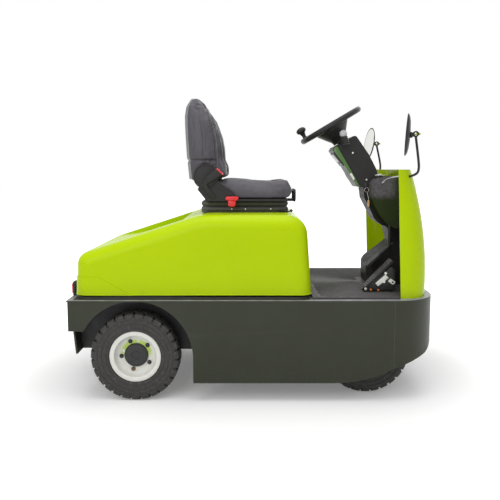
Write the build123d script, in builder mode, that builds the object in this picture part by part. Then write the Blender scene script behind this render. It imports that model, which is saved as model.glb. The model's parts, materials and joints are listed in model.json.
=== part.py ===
from build123d import *

import os
from math import cos, radians, sin

os.makedirs("parts", exist_ok=True)

# Four-wheel electric tow tractor for baggage trains, in millimetres.
# +X is forward, +Y the driver's left and +Z up. The origin is on the ground, below the middle of its box.

# Overall sizes
WHEELBASE = 1092.0
REAR_OVERHANG = 304.0
FRONT_OVERHANG = 313.0
HITCH_REACH = 71.0
WIDTH = 960.0

# Fits between moving and fixed pieces
RUNNING_FIT = 0.06
AIR_GAP = 5.0

# Wheels
TYRE_R = 207.5
TYRE_WIDTH = 110.0
TYRE_SHOULDER = 18.0
SIDEWALL_BULGE = 4.0
BEAD_R = 102.0
RIM_FLANGE_R = 120.0
RIM_WALL = 5.0
RIM_WIDTH = 92.0
DISC_RECESS = 38.0
DISC_THICK = 6.0
DISC_CORNER = 12.0
HUB_CAP_R = 56.0
HUB_CAP_PROUD = 16.0
HUB_DRUM_R = 64.0
HUB_DRUM_DEPTH = 53.0
WHEEL_BOLTS = 5
BOLT_PCD = 140.0
BOLT_R = 9.0
BOLT_HEAD = 10.0
SPINDLE_R = 24.0
REAR_TYRE_FACE_Y = 462.0
FRONT_TYRE_FACE_Y = 352.0

# Tread grooves, open at the shoulders and staggered from side to side
LUGS = 27
GROOVE_WIDTH = 11.0
GROOVE_DEPTH = 10.0
GROOVE_REACH = 45.0
GROOVE_SHOULDER = 24.0

# Skirt and bumpers
DECK_Z = 478.0
PLATE = 8.0
FLANGE = 6.0
FLANGE_WIDTH = 80.0
SKIRT_BOTTOM_Z = 90.0
ARCH_R = 267.0
ARCH_SHIFT = 4.0
ARCH_LIP = 26.0
FENDER_BOTTOM_Z = 334.0
SWAGE = 4.0
SWAGE_BAND = 33.0
SWAGE_TOP_Z = 320.0
SWAGE_RISE = 36.0
NOSE_DEPTH = 210.0
SKIRT_RISE_LENGTH = 280.0
SKIRT_RISE_Z = 158.0
NOSE_CORNER_R = 205.0
NOSE_BOTTOM_Z = 176.0
NOSE_ROLL_R = 80.0
REAR_FLANGE_WIDTH = 43.0
TAIL_INSET = 4.0
TAIL_PLATE_HALF = 400.0
TAIL_PLATE_BOTTOM_Z = 207.0
TAIL_PLATE_LEAN = 12.0

# Frame
RAIL_Y = 296.0
RAIL_BOTTOM_Z = 207.0
BAY_BOTTOM_Z = 183.0
FRONT_RAIL_Y = 86.0
FRONT_RAIL_BOTTOM_Z = 330.0
BAY_FROM_REAR_AXLE = 279.0
BAY_TO_FRONT_AXLE = 277.0
MAT_THICK = 9.0
MAT_HALF = 448.0
MAT_GAP = 6.0
MAT_CORNER_R = 80.0

# Hood
HOOD_HALF = 435.0
HOOD_WALL = 6.0
HOOD_BOTTOM_Z = 493.0
HOOD_TAIL_GAP = 28.0
HOOD_BAY_GAP = 2.0
HOOD_REAR_LEAN = 7.0
HOOD_TAIL_Z = 677.0
HOOD_DECK_LENGTH = 520.0
HOOD_TOP_Z = 862.0
HOOD_FRONT_LEAN = 28.0
HOOD_EDGE_R = 60.0
HOOD_TAIL_R = 63.0
HOOD_NOSE_R = 95.0
HOOD_DECK_R = 400.0
CHANNEL_HALF = 305.0
CHANNEL_FROM_REAR = 68.0
CHANNEL_FROM_DECK = 86.0
CHANNEL_DEPTH = 62.0
PAD_PROUD = 4.0
PAD_TOP_Z = 578.0
PAD_FLAT = 115.0
PAD_SLOPE = 150.0
SEAL_WIDTH = 14.0
SEAL_HEIGHT = 6.0
SEAL_MARGIN = 5.0

# Hood hinge
HINGE_FROM_TAIL = 74.0
HINGE_Z = 600.0
HINGE_Y = 284.0
HINGE_PIN_R = 8.0
HINGE_PLATE = 8.0
HINGE_GAP = 4.0
HINGE_EYE_R = 16.0
HINGE_POST_REACH = 155.0
HINGE_POST_DEPTH = 40.0
HINGE_BEAM = 8.0

# Battery and drive
BATTERY_HALF = 335.0
BATTERY_HEIGHT = 580.0
BATTERY_GAP = 16.0
BATTERY_FRONT_GAP = 62.0
AXLE_TUBE_R = 42.0
AXLE_TUBE_HALF = 318.0
DIFF_R = 100.0
MOTOR_R = 88.0
MOTOR_LENGTH = 255.0

# Steered axle
KINGPIN_Y = 196.0
KINGPIN_R = 12.0
BOSS_R = 27.0
BOSS_HEIGHT = 100.0
BOSS_GAP = 1.0
KNUCKLE_ARM = 14.0
KNUCKLE_WEB = 12.0
BEAM_DEPTH = 56.0
BEAM_HEIGHT = 48.0
STEER_ARM = 120.0
STEER_ARM_WIDTH = 32.0
TIE_ROD_R = 10.0
TIE_PIN_R = 8.0
TIE_DROP = 15.0
AXLE_PIVOT_R = 16.0
CARRIER_PLATE = 10.0
CARRIER_BOTTOM_Z = 172.0
CARRIER_TOP_Z = 400.0

# Front shield and the black inner panel behind its lamps
SHIELD_HALF = 430.0
SHIELD_WALL = 6.0
SHIELD_TOP_Z = 1070.0
SHIELD_DEPTH = 135.0
SHIELD_TOP_REACH = 25.0
SHIELD_NOSE_GAP = 40.0
SHIELD_BULGE_IN = 8.0
SHIELD_BULGE_Z = 730.0
SHIELD_TOP_IN = 84.0
SHIELD_CORNER_R = 115.0
FIREWALL = 7.0
FIREWALL_HALF = 280.0
FIREWALL_TOP_Z = 1036.0

# Headlamps and tail lamps
HEADLAMP_Y = 220.0
HEADLAMP_Z = 690.0
HEADLAMP_R = 52.0
HEADLAMP_DEPTH = 60.0
HEADLAMP_BEZEL = 7.0
HEADLAMP_PROUD = 4.0
HEADLAMP_DOME = 6.0
TAIL_LAMP_Y = 330.0
TAIL_LAMP_WIDTH = 54.0
TAIL_LAMP_HEIGHT = 66.0
TAIL_LAMP_BASE = 10.0
TAIL_LAMP_CORNER = 10.0
TAIL_LENS_MARGIN = 8.0
TAIL_LENS_PROUD = 6.0

# Dash pod, pedestal and column head; outlines start from the column's datum and the deck
COLUMN_FROM_NOSE = 153.0
POD_HALF = 190.0
POD_REAR = -117.0
POD_CORNER_R = 60.0
PEDESTAL_HALF = 108.0
FOOT_REAR = -123.0
FOOT_CORNER_R = 35.0
COLUMN_HALF = 74.0
HEAD_HALF = 78.0
PANEL_HALF = 86.0

# Steering wheel
WHEEL_TILT = 30.6
WHEEL_FROM_COLUMN = -309.0
WHEEL_RISE = 821.0
WHEEL_R = 173.0
WHEEL_GRIP_R = 14.5
WHEEL_DISH = 71.0
WHEEL_DISH_WALL = 8.0
WHEEL_DISH_R = 84.0
WHEEL_HUB_R = 34.0
WHEEL_BOSS_R = 58.0
WHEEL_HUB_BOTTOM = 98.0
STEM_R = 15.0
STEM_LENGTH = 138.0
SPOKES = 3
SPOKE_WIDTH = 46.0
KNOB_R = 22.0
KNOB_STEM_R = 8.0
KNOB_RISE = 48.0

# Mirrors
MIRROR_FROM_COLUMN = -14.0
MIRROR_IN = 13.0
MIRROR_RISE = 747.0
MIRROR_TOE = 18.0
MIRROR_LEAN = 4.5
MIRROR_HEIGHT = 190.0
MIRROR_WIDTH = 122.0
MIRROR_THICK = 11.0
MIRROR_ARM_R = 6.5
MIRROR_CLAMP_R = 10.0
MIRROR_BEND_R = 14.0

# Seat; outlines start from the rear end of its pan
SEAT_FROM_FRONT = 502.0
SEAT_HALF = 235.0
SEAT_RISE = 56.0
SEAT_PAN = 10.0
SEAT_PAN_LENGTH = 396.0
SEAT_SIDE = 9.0
BACK_TOP_HALF = 200.0
BACK_SHOULDER_R = 60.0
BACK_TAPER_FROM = 320.0
CUSHION_CORNER_R = 45.0
BELLOWS_HALF = 185.0
BELLOWS_LENGTH = 412.0
BELLOWS_SHIFT = 188.0
BELLOWS_CORNER_R = 30.0
BELLOWS_RIBS = 2
BELLOWS_RIB_R = 8.0
BASE_PLATE = 10.0
BASE_PLATE_MARGIN = 9.0
RECLINER_SHIFT = 1.0
RECLINER_RISE = 118.0
RECLINER_R = 60.0

# Pedals, set in from the shield's side and from the pod's end
PEDAL_IN = 145.0
PEDAL_WIDTH = 74.0
PEDAL_THICK = 10.0
BRAKE_IN = 22.0
BRAKE_WIDTH = 66.0
BRAKE_ARM_R = 8.0

# Direction lever on the right of the column head
LEVER_OUT = 44.0
LEVER_R = 17.0
LEVER_HEIGHT = 62.0
LEVER_ARM_R = 7.0

# Tow coupling
HITCH_Z = 262.0
HITCH_STEP = 50.0
HITCH_JAWS = 4
HITCH_JAW = 14.0
HITCH_HALF = 48.0
HITCH_BACK = 12.0
HITCH_BACK_HALF = 62.0
HITCH_BACK_MARGIN = 18.0
HITCH_PIN_R = 12.5
HITCH_EDGE = 32.0
HITCH_PIN_HEAD = 16.0
HITCH_PIN_HEAD_R = 20.0
HITCH_PIN_TAIL = 8.0
HITCH_RING_R = 5.0

# Sizes that follow from those above
LENGTH = HITCH_REACH + REAR_OVERHANG + WHEELBASE + FRONT_OVERHANG
NOSE_X = LENGTH / 2
HITCH_END_X = -LENGTH / 2
HITCH_PIN_X = HITCH_END_X + HITCH_EDGE
TAIL_X = HITCH_END_X + HITCH_REACH
TAIL_FACE_X = TAIL_X + TAIL_INSET
REAR_AXLE_X = TAIL_X + REAR_OVERHANG
FRONT_AXLE_X = REAR_AXLE_X + WHEELBASE
AXLE_Z = TYRE_R
HALF_WIDTH = WIDTH / 2
SIDE_IN_Y = HALF_WIDTH - PLATE
FLANGE_BOTTOM_Z = DECK_Z - FLANGE
FLANGE_IN_Y = HALF_WIDTH - FLANGE_WIDTH
ARCH_X = REAR_AXLE_X + ARCH_SHIFT
SKIRT_FRONT_X = NOSE_X - NOSE_DEPTH
SKIRT_RISE_X = SKIRT_FRONT_X - SKIRT_RISE_LENGTH
BAY_REAR_X = REAR_AXLE_X + BAY_FROM_REAR_AXLE
BAY_FRONT_X = FRONT_AXLE_X - BAY_TO_FRONT_AXLE
BAY_END_X = BAY_FRONT_X + PLATE
BAY_FLOOR_Z = BAY_BOTTOM_Z + PLATE
BATTERY_REAR_X = BAY_REAR_X + PLATE + BATTERY_GAP
BATTERY_LENGTH = BAY_FRONT_X - BATTERY_FRONT_GAP - BATTERY_REAR_X
MAT_TOP_Z = DECK_Z + MAT_THICK
HOOD_REAR_X = TAIL_X + HOOD_TAIL_GAP
HOOD_FRONT_X = BAY_END_X - HOOD_BAY_GAP
HOOD_DECK_X = HOOD_FRONT_X - HOOD_DECK_LENGTH
CHANNEL_REAR_X = HOOD_REAR_X + CHANNEL_FROM_REAR
CHANNEL_FRONT_X = HOOD_DECK_X - CHANNEL_FROM_DECK
HINGE_X = TAIL_X + HINGE_FROM_TAIL
HINGE_POST_X = HINGE_X + HINGE_POST_REACH
HINGE_EAR_Y = HINGE_Y + HINGE_PLATE + HINGE_GAP
RIM_EDGE = (TYRE_WIDTH - RIM_WIDTH) / 2
DISC_FACE = RIM_EDGE + DISC_RECESS
DISC_BACK = DISC_FACE + DISC_THICK
SHIELD_NOSE_X = NOSE_X - SHIELD_NOSE_GAP
SHIELD_BULGE_X = SHIELD_NOSE_X - SHIELD_BULGE_IN
SHIELD_TOP_X = SHIELD_NOSE_X - SHIELD_TOP_IN
SHIELD_REAR_X = SHIELD_NOSE_X - SHIELD_DEPTH
SHIELD_REAR_TOP_X = SHIELD_REAR_X - SHIELD_TOP_REACH
HEADLAMP_BACK_X = SHIELD_NOSE_X - HEADLAMP_DEPTH
FIREWALL_X = HEADLAMP_BACK_X - FIREWALL
COLUMN_X = NOSE_X - COLUMN_FROM_NOSE
COLUMN_TO_WALL = FIREWALL_X - COLUMN_X
WHEEL_X = COLUMN_X + WHEEL_FROM_COLUMN
WHEEL_Z = DECK_Z + WHEEL_RISE
MIRROR_X = COLUMN_X + MIRROR_FROM_COLUMN
MIRROR_Y = SHIELD_HALF - MIRROR_IN
MIRROR_Z = DECK_Z + MIRROR_RISE
SEAT_X = HOOD_FRONT_X - SEAT_FROM_FRONT
SEAT_PAN_Z = HOOD_TOP_Z + SEAT_RISE
SEAT_PAN_TOP_Z = SEAT_PAN_Z + SEAT_PAN
PEDAL_Y = SHIELD_HALF - PEDAL_IN
BRAKE_Y = POD_HALF - BRAKE_IN
LEVER_Y = HEAD_HALF + LEVER_OUT

BOTTOM = (Align.CENTER, Align.CENTER, Align.MIN)
REAR_BOTTOM = (Align.MIN, Align.CENTER, Align.MIN)
REAR_EDGE = (Align.MIN, Align.CENTER)


def save(piece, label):
    """Label one finished sub-part and write its STEP file."""
    piece.part.label = label
    export_step(piece.part, "parts/" + label + ".step")


def save_both(piece, name):
    """Write the right-hand sub-part, then its mirror image as the left-hand one."""
    save(piece, name + "_right")
    with BuildPart() as twin:
        mirror(piece.part, about=Plane.XZ)
    save(twin, name + "_left")


def outline(points, radii=0):
    """A closed sketch outline through the points, each corner rounded by its radius."""
    with BuildSketch() as shape:
        with BuildLine():
            Polyline(*points, close=True)
        make_face()
        if radii:
            for point, radius in zip(points, radii):
                if radius:
                    corner = shape.vertices().sort_by_distance((point[0], point[1], 0))[0]
                    fillet(corner, radius=radius)
    return shape.sketch


def from_datum(points, x, z):
    """Side-view points moved out to their datum."""
    return [(x + forward, z + up) for forward, up in points]


def side_slab(shape, right_y, width):
    """Extrude a side outline leftwards from the plane at -right_y."""
    with BuildPart() as slab:
        with BuildSketch(Plane.XZ.offset(right_y)):
            add(shape)
        extrude(amount=-width)
    return slab.part


def arch_outline(grow):
    """Wheel-arch opening: a half round on straight legs, made larger by grow."""
    with BuildSketch() as arch:
        with Locations((ARCH_X, AXLE_Z)):
            Circle(ARCH_R + grow)
            Rectangle(2 * (ARCH_R + grow), AXLE_Z, align=(Align.CENTER, Align.MAX))
    return arch.sketch


def skirt_outline():
    """Side view of the skirt before the arch is cut, below its flange."""
    with BuildSketch() as blank:
        with BuildLine():
            Polyline(
                (SKIRT_RISE_X, SKIRT_BOTTOM_Z),
                (ARCH_X, SKIRT_BOTTOM_Z),
                (ARCH_X, FENDER_BOTTOM_Z),
                (TAIL_FACE_X, FENDER_BOTTOM_Z),
                (TAIL_FACE_X, FLANGE_BOTTOM_Z),
                (SKIRT_FRONT_X, FLANGE_BOTTOM_Z),
                (SKIRT_FRONT_X, SKIRT_RISE_Z),
            )
            TangentArc((SKIRT_RISE_X, SKIRT_BOTTOM_Z), (SKIRT_FRONT_X, SKIRT_RISE_Z), tangent=(1, 0))
        make_face()
    return blank.sketch


# Side skirt: a plate with a swage that fades forward, the wheel arch and its lip, under a top flange
with BuildPart() as skirt:
    with BuildSketch(Plane.XZ.offset(SIDE_IN_Y)):
        add(skirt_outline())
    extrude(amount=PLATE)
    with BuildSketch(Plane.XZ.offset(SIDE_IN_Y)):
        add(skirt_outline())
        add(arch_outline(FLANGE), mode=Mode.INTERSECT)
    extrude(amount=-ARCH_LIP)
    with BuildSketch(Plane.XZ.offset(HALF_WIDTH)):
        add(arch_outline(0))
        with Locations((ARCH_X, 0)):
            Rectangle(4 * ARCH_R, FLANGE_BOTTOM_Z, align=(Align.CENTER, Align.MIN), mode=Mode.INTERSECT)
    extrude(amount=-(PLATE + ARCH_LIP), mode=Mode.SUBTRACT)
    swage_section = [
        (-HALF_WIDTH + SWAGE, SWAGE_TOP_Z),
        (-HALF_WIDTH + SWAGE, DECK_Z),
        (-HALF_WIDTH - SWAGE, DECK_Z),
        (-HALF_WIDTH - SWAGE, SWAGE_TOP_Z - 2 * SWAGE_BAND),
    ]
    with BuildSketch(Plane.YZ.offset(ARCH_X)):
        add(outline(swage_section))
    swage_run = Vector(SKIRT_FRONT_X - ARCH_X, -SWAGE, SWAGE_RISE)
    extrude(amount=swage_run.length, dir=swage_run, mode=Mode.SUBTRACT)
    tail_strip = (ARCH_X - TAIL_X, 2 * SWAGE, DECK_Z - FENDER_BOTTOM_Z)
    with Locations((ARCH_X, -HALF_WIDTH + SWAGE, FENDER_BOTTOM_Z)):
        Box(*tail_strip, align=(Align.MAX, Align.MAX, Align.MIN), mode=Mode.SUBTRACT)
    with Locations((TAIL_X, -FLANGE_IN_Y, FLANGE_BOTTOM_Z)):
        Box(SKIRT_FRONT_X - TAIL_X, FLANGE_WIDTH, FLANGE, align=(Align.MIN, Align.MAX, Align.MIN))
save_both(skirt, "skirt")


def nose_block(inset, top_z):
    """Solid inside the nose wrap's outer face, drawn in by inset, up to top_z."""
    with BuildPart() as block:
        with BuildSketch(Plane.XY) as plan:
            with Locations((SKIRT_FRONT_X, 0)):
                Rectangle(NOSE_X - inset - SKIRT_FRONT_X, WIDTH - 2 * inset, align=REAR_EDGE)
            fillet(plan.vertices().group_by(Axis.X)[-1], radius=NOSE_CORNER_R - inset)
        extrude(amount=top_z)
    return block.part


# Front bumper: one pressed wrap round the nose, its lower edge rising and rolled under
with BuildPart() as front_bumper:
    add(nose_block(0, DECK_Z))
    with BuildSketch(Plane.XZ.offset(HALF_WIDTH)):
        with BuildLine():
            Polyline(
                (NOSE_X - NOSE_ROLL_R, NOSE_BOTTOM_Z),
                (SKIRT_FRONT_X, SKIRT_RISE_Z),
                (SKIRT_FRONT_X, 0),
                (NOSE_X, 0),
                (NOSE_X, NOSE_BOTTOM_Z + NOSE_ROLL_R),
            )
            RadiusArc(
                (NOSE_X, NOSE_BOTTOM_Z + NOSE_ROLL_R),
                (NOSE_X - NOSE_ROLL_R, NOSE_BOTTOM_Z),
                NOSE_ROLL_R,
            )
        make_face()
    extrude(amount=-WIDTH, mode=Mode.SUBTRACT)
    add(nose_block(PLATE, FLANGE_BOTTOM_Z), mode=Mode.SUBTRACT)
    add(nose_block(FLANGE_WIDTH, DECK_Z), mode=Mode.SUBTRACT)
save(front_bumper, "front_bumper")

# Rear bumper: a cross plate between the skirts with a top flange for the lamps
with BuildPart() as rear_bumper:
    with Locations((TAIL_FACE_X, 0, FENDER_BOTTOM_Z)):
        Box(PLATE, 2 * SIDE_IN_Y, FLANGE_BOTTOM_Z - FENDER_BOTTOM_Z, align=REAR_BOTTOM)
    with Locations((TAIL_X, 0, FLANGE_BOTTOM_Z)):
        Box(REAR_FLANGE_WIDTH, 2 * FLANGE_IN_Y, FLANGE, align=REAR_BOTTOM)
save(rear_bumper, "rear_bumper")

# Tail plate: the heavy cross plate that leans in below the rear bumper and carries the coupling's foot
TAIL_FOOT_X = TAIL_FACE_X + TAIL_PLATE_LEAN
tail_section = outline(
    (
        (TAIL_FACE_X, FENDER_BOTTOM_Z),
        (TAIL_FACE_X + PLATE, FENDER_BOTTOM_Z),
        (TAIL_FOOT_X + PLATE, TAIL_PLATE_BOTTOM_Z),
        (TAIL_FOOT_X, TAIL_PLATE_BOTTOM_Z),
    )
)
with BuildPart() as tail_plate:
    add(side_slab(tail_section, TAIL_PLATE_HALF, 2 * TAIL_PLATE_HALF))
save(tail_plate, "tail_plate")

# Main frame: battery bay pan, bulkheads, rear rails, narrow front rails and the axle carriers
with BuildPart() as frame:
    with Locations((BAY_REAR_X, 0, BAY_BOTTOM_Z)):
        Box(BAY_END_X - BAY_REAR_X, 2 * SIDE_IN_Y, PLATE, align=REAR_BOTTOM)
    with Locations((BAY_REAR_X, 0, BAY_BOTTOM_Z), (BAY_FRONT_X, 0, BAY_BOTTOM_Z)):
        Box(PLATE, 2 * SIDE_IN_Y, FLANGE_BOTTOM_Z - BAY_BOTTOM_Z, align=REAR_BOTTOM)
    rail_rear_x = TAIL_FACE_X + PLATE
    with Locations((rail_rear_x, RAIL_Y, RAIL_BOTTOM_Z), (rail_rear_x, -RAIL_Y, RAIL_BOTTOM_Z)):
        Box(BAY_REAR_X - rail_rear_x, PLATE, FLANGE_BOTTOM_Z - RAIL_BOTTOM_Z, align=REAR_BOTTOM)
    for side in (-1, 1):
        with Locations((BAY_END_X, side * FRONT_RAIL_Y, FRONT_RAIL_BOTTOM_Z)):
            Box(NOSE_X - PLATE - BAY_END_X, PLATE, FLANGE_BOTTOM_Z - FRONT_RAIL_BOTTOM_Z, align=REAR_BOTTOM)
        with Locations((FRONT_AXLE_X + side * (BEAM_DEPTH + CARRIER_PLATE) / 2, 0, CARRIER_BOTTOM_Z)):
            Box(CARRIER_PLATE, 2 * FRONT_RAIL_Y, CARRIER_TOP_Z - CARRIER_BOTTOM_Z, align=BOTTOM)
    with Locations((HINGE_POST_X, 0, FLANGE_BOTTOM_Z - HINGE_BEAM)):
        Box(HINGE_POST_DEPTH, 2 * (HINGE_Y + HINGE_PLATE + HINGE_PLATE), HINGE_BEAM, align=REAR_BOTTOM)
    with Locations((FRONT_AXLE_X, 0, AXLE_Z)):
        Cylinder(AXLE_PIVOT_R, LENGTH / 4, rotation=(0, 90, 0), mode=Mode.SUBTRACT)
    with Locations((REAR_AXLE_X, 0, AXLE_Z)):
        Cylinder(AXLE_TUBE_R, WIDTH, rotation=(90, 0, 0), mode=Mode.SUBTRACT)
        Box(2 * AXLE_TUBE_R, WIDTH, AXLE_Z, align=(Align.CENTER, Align.CENTER, Align.MAX), mode=Mode.SUBTRACT)
    rail_end_cut = outline(
        (
            (TAIL_X, FENDER_BOTTOM_Z),
            (TAIL_FACE_X + PLATE, FENDER_BOTTOM_Z),
            (TAIL_FOOT_X + PLATE, TAIL_PLATE_BOTTOM_Z),
            (TAIL_X, TAIL_PLATE_BOTTOM_Z),
        )
    )
    add(side_slab(rail_end_cut, TAIL_PLATE_HALF, 2 * TAIL_PLATE_HALF), mode=Mode.SUBTRACT)
save(frame, "frame")

# Platform: the driver's floor plate, inside the flanges of skirt and nose
with BuildPart() as platform:
    with BuildSketch(Plane.XY.offset(FLANGE_BOTTOM_Z)) as floor_plan:
        with Locations((BAY_END_X, 0)):
            Rectangle(NOSE_X - FLANGE_WIDTH - BAY_END_X, 2 * FLANGE_IN_Y, align=REAR_EDGE)
        fillet(floor_plan.vertices().group_by(Axis.X)[-1], radius=NOSE_CORNER_R - FLANGE_WIDTH)
    extrude(amount=FLANGE)
save(platform, "platform")

# Floor mat: rubber, narrower where it runs in between the shield's sides
with BuildPart() as floor_mat:
    with BuildSketch(Plane.XY.offset(DECK_Z)) as mat_plan:
        with Locations((BAY_END_X, 0)):
            Rectangle(FIREWALL_X - BAY_END_X, 2 * (SHIELD_HALF - SHIELD_WALL - MAT_GAP), align=REAR_EDGE)
        fillet(mat_plan.vertices().group_by(Axis.X)[-1], radius=MAT_CORNER_R)
        with Locations((BAY_END_X, 0)):
            Rectangle(SHIELD_REAR_X - MAT_GAP - BAY_END_X, 2 * MAT_HALF, align=REAR_EDGE)
    extrude(amount=MAT_THICK)
save(floor_mat, "floor_mat")

# Hood seal: a rubber ring on the flanges under the hood's lower edge
with BuildPart() as hood_seal:
    with BuildSketch(Plane.XY.offset(DECK_Z)) as ring:
        with Locations(((HOOD_REAR_X + HOOD_FRONT_X) / 2, 0)):
            Rectangle(HOOD_FRONT_X - HOOD_REAR_X - 2 * SEAL_MARGIN, 2 * (HOOD_HALF - SEAL_MARGIN))
            fillet(ring.vertices(), radius=HOOD_EDGE_R)
            offset(amount=-SEAL_WIDTH, mode=Mode.SUBTRACT)
    extrude(amount=SEAL_HEIGHT)
save(hood_seal, "hood_seal")


def hood_form(inset):
    """Closed body of the hood drawn in by inset: tapered tail, flat seat deck and the rear channel."""
    rear_top = HOOD_REAR_X + HOOD_REAR_LEAN + inset
    front_top = HOOD_FRONT_X - HOOD_FRONT_LEAN - inset
    slope = (HOOD_TOP_Z - HOOD_TAIL_Z) / (HOOD_DECK_X - HOOD_REAR_X - HOOD_REAR_LEAN)
    side = outline(
        (
            (HOOD_REAR_X + inset, HOOD_BOTTOM_Z),
            (rear_top, HOOD_TAIL_Z - inset + slope * inset),
            (HOOD_DECK_X, HOOD_TOP_Z - inset),
            (front_top, HOOD_TOP_Z - inset),
            (HOOD_FRONT_X - inset, HOOD_BOTTOM_Z),
        ),
        (0, HOOD_TAIL_R - inset, HOOD_DECK_R, HOOD_NOSE_R - inset, 0),
    )
    channel = outline(
        (
            (CHANNEL_REAR_X, ridge_z(CHANNEL_REAR_X) - inset),
            (CHANNEL_FRONT_X + inset, ridge_z(CHANNEL_FRONT_X) - CHANNEL_DEPTH - inset),
            (CHANNEL_FRONT_X + inset, HOOD_TOP_Z + HOOD_WALL),
            (CHANNEL_REAR_X, HOOD_TOP_Z + HOOD_WALL),
        )
    )
    with BuildPart() as form:
        with BuildSketch(Plane.XZ.offset(HOOD_HALF - inset)):
            add(side)
        extrude(amount=-2 * (HOOD_HALF - inset))
        sides = form.faces().filter_by(Axis.Y).edges()
        fillet(sides.filter_by(lambda edge: edge.center().Z > HOOD_BOTTOM_Z + 1), radius=HOOD_EDGE_R - inset)
        add(side_slab(channel, CHANNEL_HALF + inset, 2 * (CHANNEL_HALF + inset)), mode=Mode.SUBTRACT)
    return form.part


def ridge_z(x):
    """Height of the tail's sloping top line at x."""
    rear = HOOD_REAR_X + HOOD_REAR_LEAN
    return HOOD_TAIL_Z + (HOOD_TOP_Z - HOOD_TAIL_Z) * (x - rear) / (HOOD_DECK_X - rear)


def tail_pad():
    """Raised band low on the hood's tail, its top edge level and then sloping down forward."""
    reach = HOOD_REAR_X - 2 * PAD_PROUD
    side = outline(
        (
            (reach, HOOD_BOTTOM_Z),
            (reach, PAD_TOP_Z),
            (HOOD_REAR_X + PAD_FLAT, PAD_TOP_Z),
            (HOOD_REAR_X + PAD_FLAT + PAD_SLOPE, HOOD_BOTTOM_Z),
        ),
        (0, 0, PAD_FLAT / 2, 0),
    )
    with BuildPart() as pad:
        add(hood_form(-PAD_PROUD))
        add(side_slab(side, 2 * HOOD_HALF, 4 * HOOD_HALF), mode=Mode.INTERSECT)
    return pad.part


# Hood: one moulded shell, open below, with two hinge ears inside its tail
EAR_ROOT_X = CHANNEL_REAR_X - HINGE_PLATE
EAR_TIP_X = CHANNEL_REAR_X + 4 * HINGE_PLATE
EAR_SINK = 1.5 * HOOD_WALL
hinge_ear = outline(
    (
        (HINGE_X - HINGE_EYE_R, HINGE_Z - HINGE_EYE_R),
        (HINGE_X - HINGE_EYE_R, HINGE_Z + HINGE_EYE_R),
        (EAR_ROOT_X, ridge_z(EAR_ROOT_X) - EAR_SINK),
        (EAR_TIP_X, ridge_z(EAR_TIP_X) - EAR_SINK),
        (HINGE_X + HINGE_EYE_R, HINGE_Z - HINGE_EYE_R),
    ),
    (HINGE_EYE_R - 1, HINGE_EYE_R / 2, 0, 0, HINGE_EYE_R - 1),
)
with BuildPart() as hood:
    add(hood_form(0))
    add(tail_pad())
    add(hood_form(HOOD_WALL), mode=Mode.SUBTRACT)
    add(side_slab(hinge_ear, HINGE_EAR_Y + HINGE_PLATE, HINGE_PLATE))
    add(side_slab(hinge_ear, -HINGE_EAR_Y, HINGE_PLATE))
    for side in (-1, 1):
        pin_middle = side * (HINGE_EAR_Y + HINGE_Y - HINGE_GAP) / 2
        with Locations((HINGE_X, pin_middle, HINGE_Z)):
            Cylinder(HINGE_PIN_R, HINGE_PLATE + 2 * HINGE_GAP, rotation=(90, 0, 0))
save(hood, "hood")

# Hinge bracket: a gooseneck plate that rises in front of the hood's swing and reaches back to its pin
with BuildPart() as hinge_bracket:
    gooseneck = outline(
        (
            (HINGE_POST_X, FLANGE_BOTTOM_Z),
            (HINGE_POST_X, HINGE_Z - HINGE_EYE_R),
            (HINGE_X - HINGE_EYE_R, HINGE_Z - HINGE_EYE_R),
            (HINGE_X - HINGE_EYE_R, HINGE_Z + HINGE_EYE_R),
            (HINGE_POST_X + HINGE_POST_DEPTH, HINGE_Z + HINGE_EYE_R),
            (HINGE_POST_X + HINGE_POST_DEPTH, FLANGE_BOTTOM_Z),
        ),
        (0, HINGE_EYE_R, HINGE_EYE_R - 1, HINGE_EYE_R - 1, HINGE_EYE_R, 0),
    )
    add(side_slab(gooseneck, HINGE_Y + HINGE_PLATE, HINGE_PLATE))
    with Locations((HINGE_X, -HINGE_Y, HINGE_Z)):
        Cylinder(HINGE_PIN_R + RUNNING_FIT, 4 * HINGE_PLATE, rotation=(90, 0, 0), mode=Mode.SUBTRACT)
save_both(hinge_bracket, "hinge_bracket")

# Battery: one plain block on the bay floor
with BuildPart() as battery:
    with Locations((BATTERY_REAR_X, 0, BAY_FLOOR_Z)):
        Box(BATTERY_LENGTH, 2 * BATTERY_HALF, BATTERY_HEIGHT, align=REAR_BOTTOM)
save(battery, "battery")

# Drive axle: tube, differential, spindles and the motor lying ahead of it
with BuildPart() as drive_axle:
    with Locations((REAR_AXLE_X, 0, AXLE_Z)):
        Cylinder(AXLE_TUBE_R, 2 * AXLE_TUBE_HALF, rotation=(90, 0, 0))
        Sphere(DIFF_R)
        Cylinder(SPINDLE_R, 2 * (REAR_TYRE_FACE_Y - DISC_BACK - BOLT_HEAD), rotation=(90, 0, 0))
        Cylinder(MOTOR_R, MOTOR_LENGTH, rotation=(0, 90, 0), align=BOTTOM)
save(drive_axle, "drive_axle")


def wheel_plane(axle_x, face_y):
    """Section plane of a right-hand wheel: x runs inboard from the tyre's face, y outward from the axle."""
    return Plane(origin=(axle_x, -face_y, AXLE_Z), x_dir=(0, 1, 0), z_dir=(1, 0, 0))


def spun(section, axle_x, face_y):
    """Revolve a closed wheel section about its axle."""
    with BuildPart() as turned:
        with BuildSketch(wheel_plane(axle_x, face_y)):
            add(section)
        revolve(axis=Axis((axle_x, -face_y, AXLE_Z), (0, 1, 0)))
    return turned.part


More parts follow.
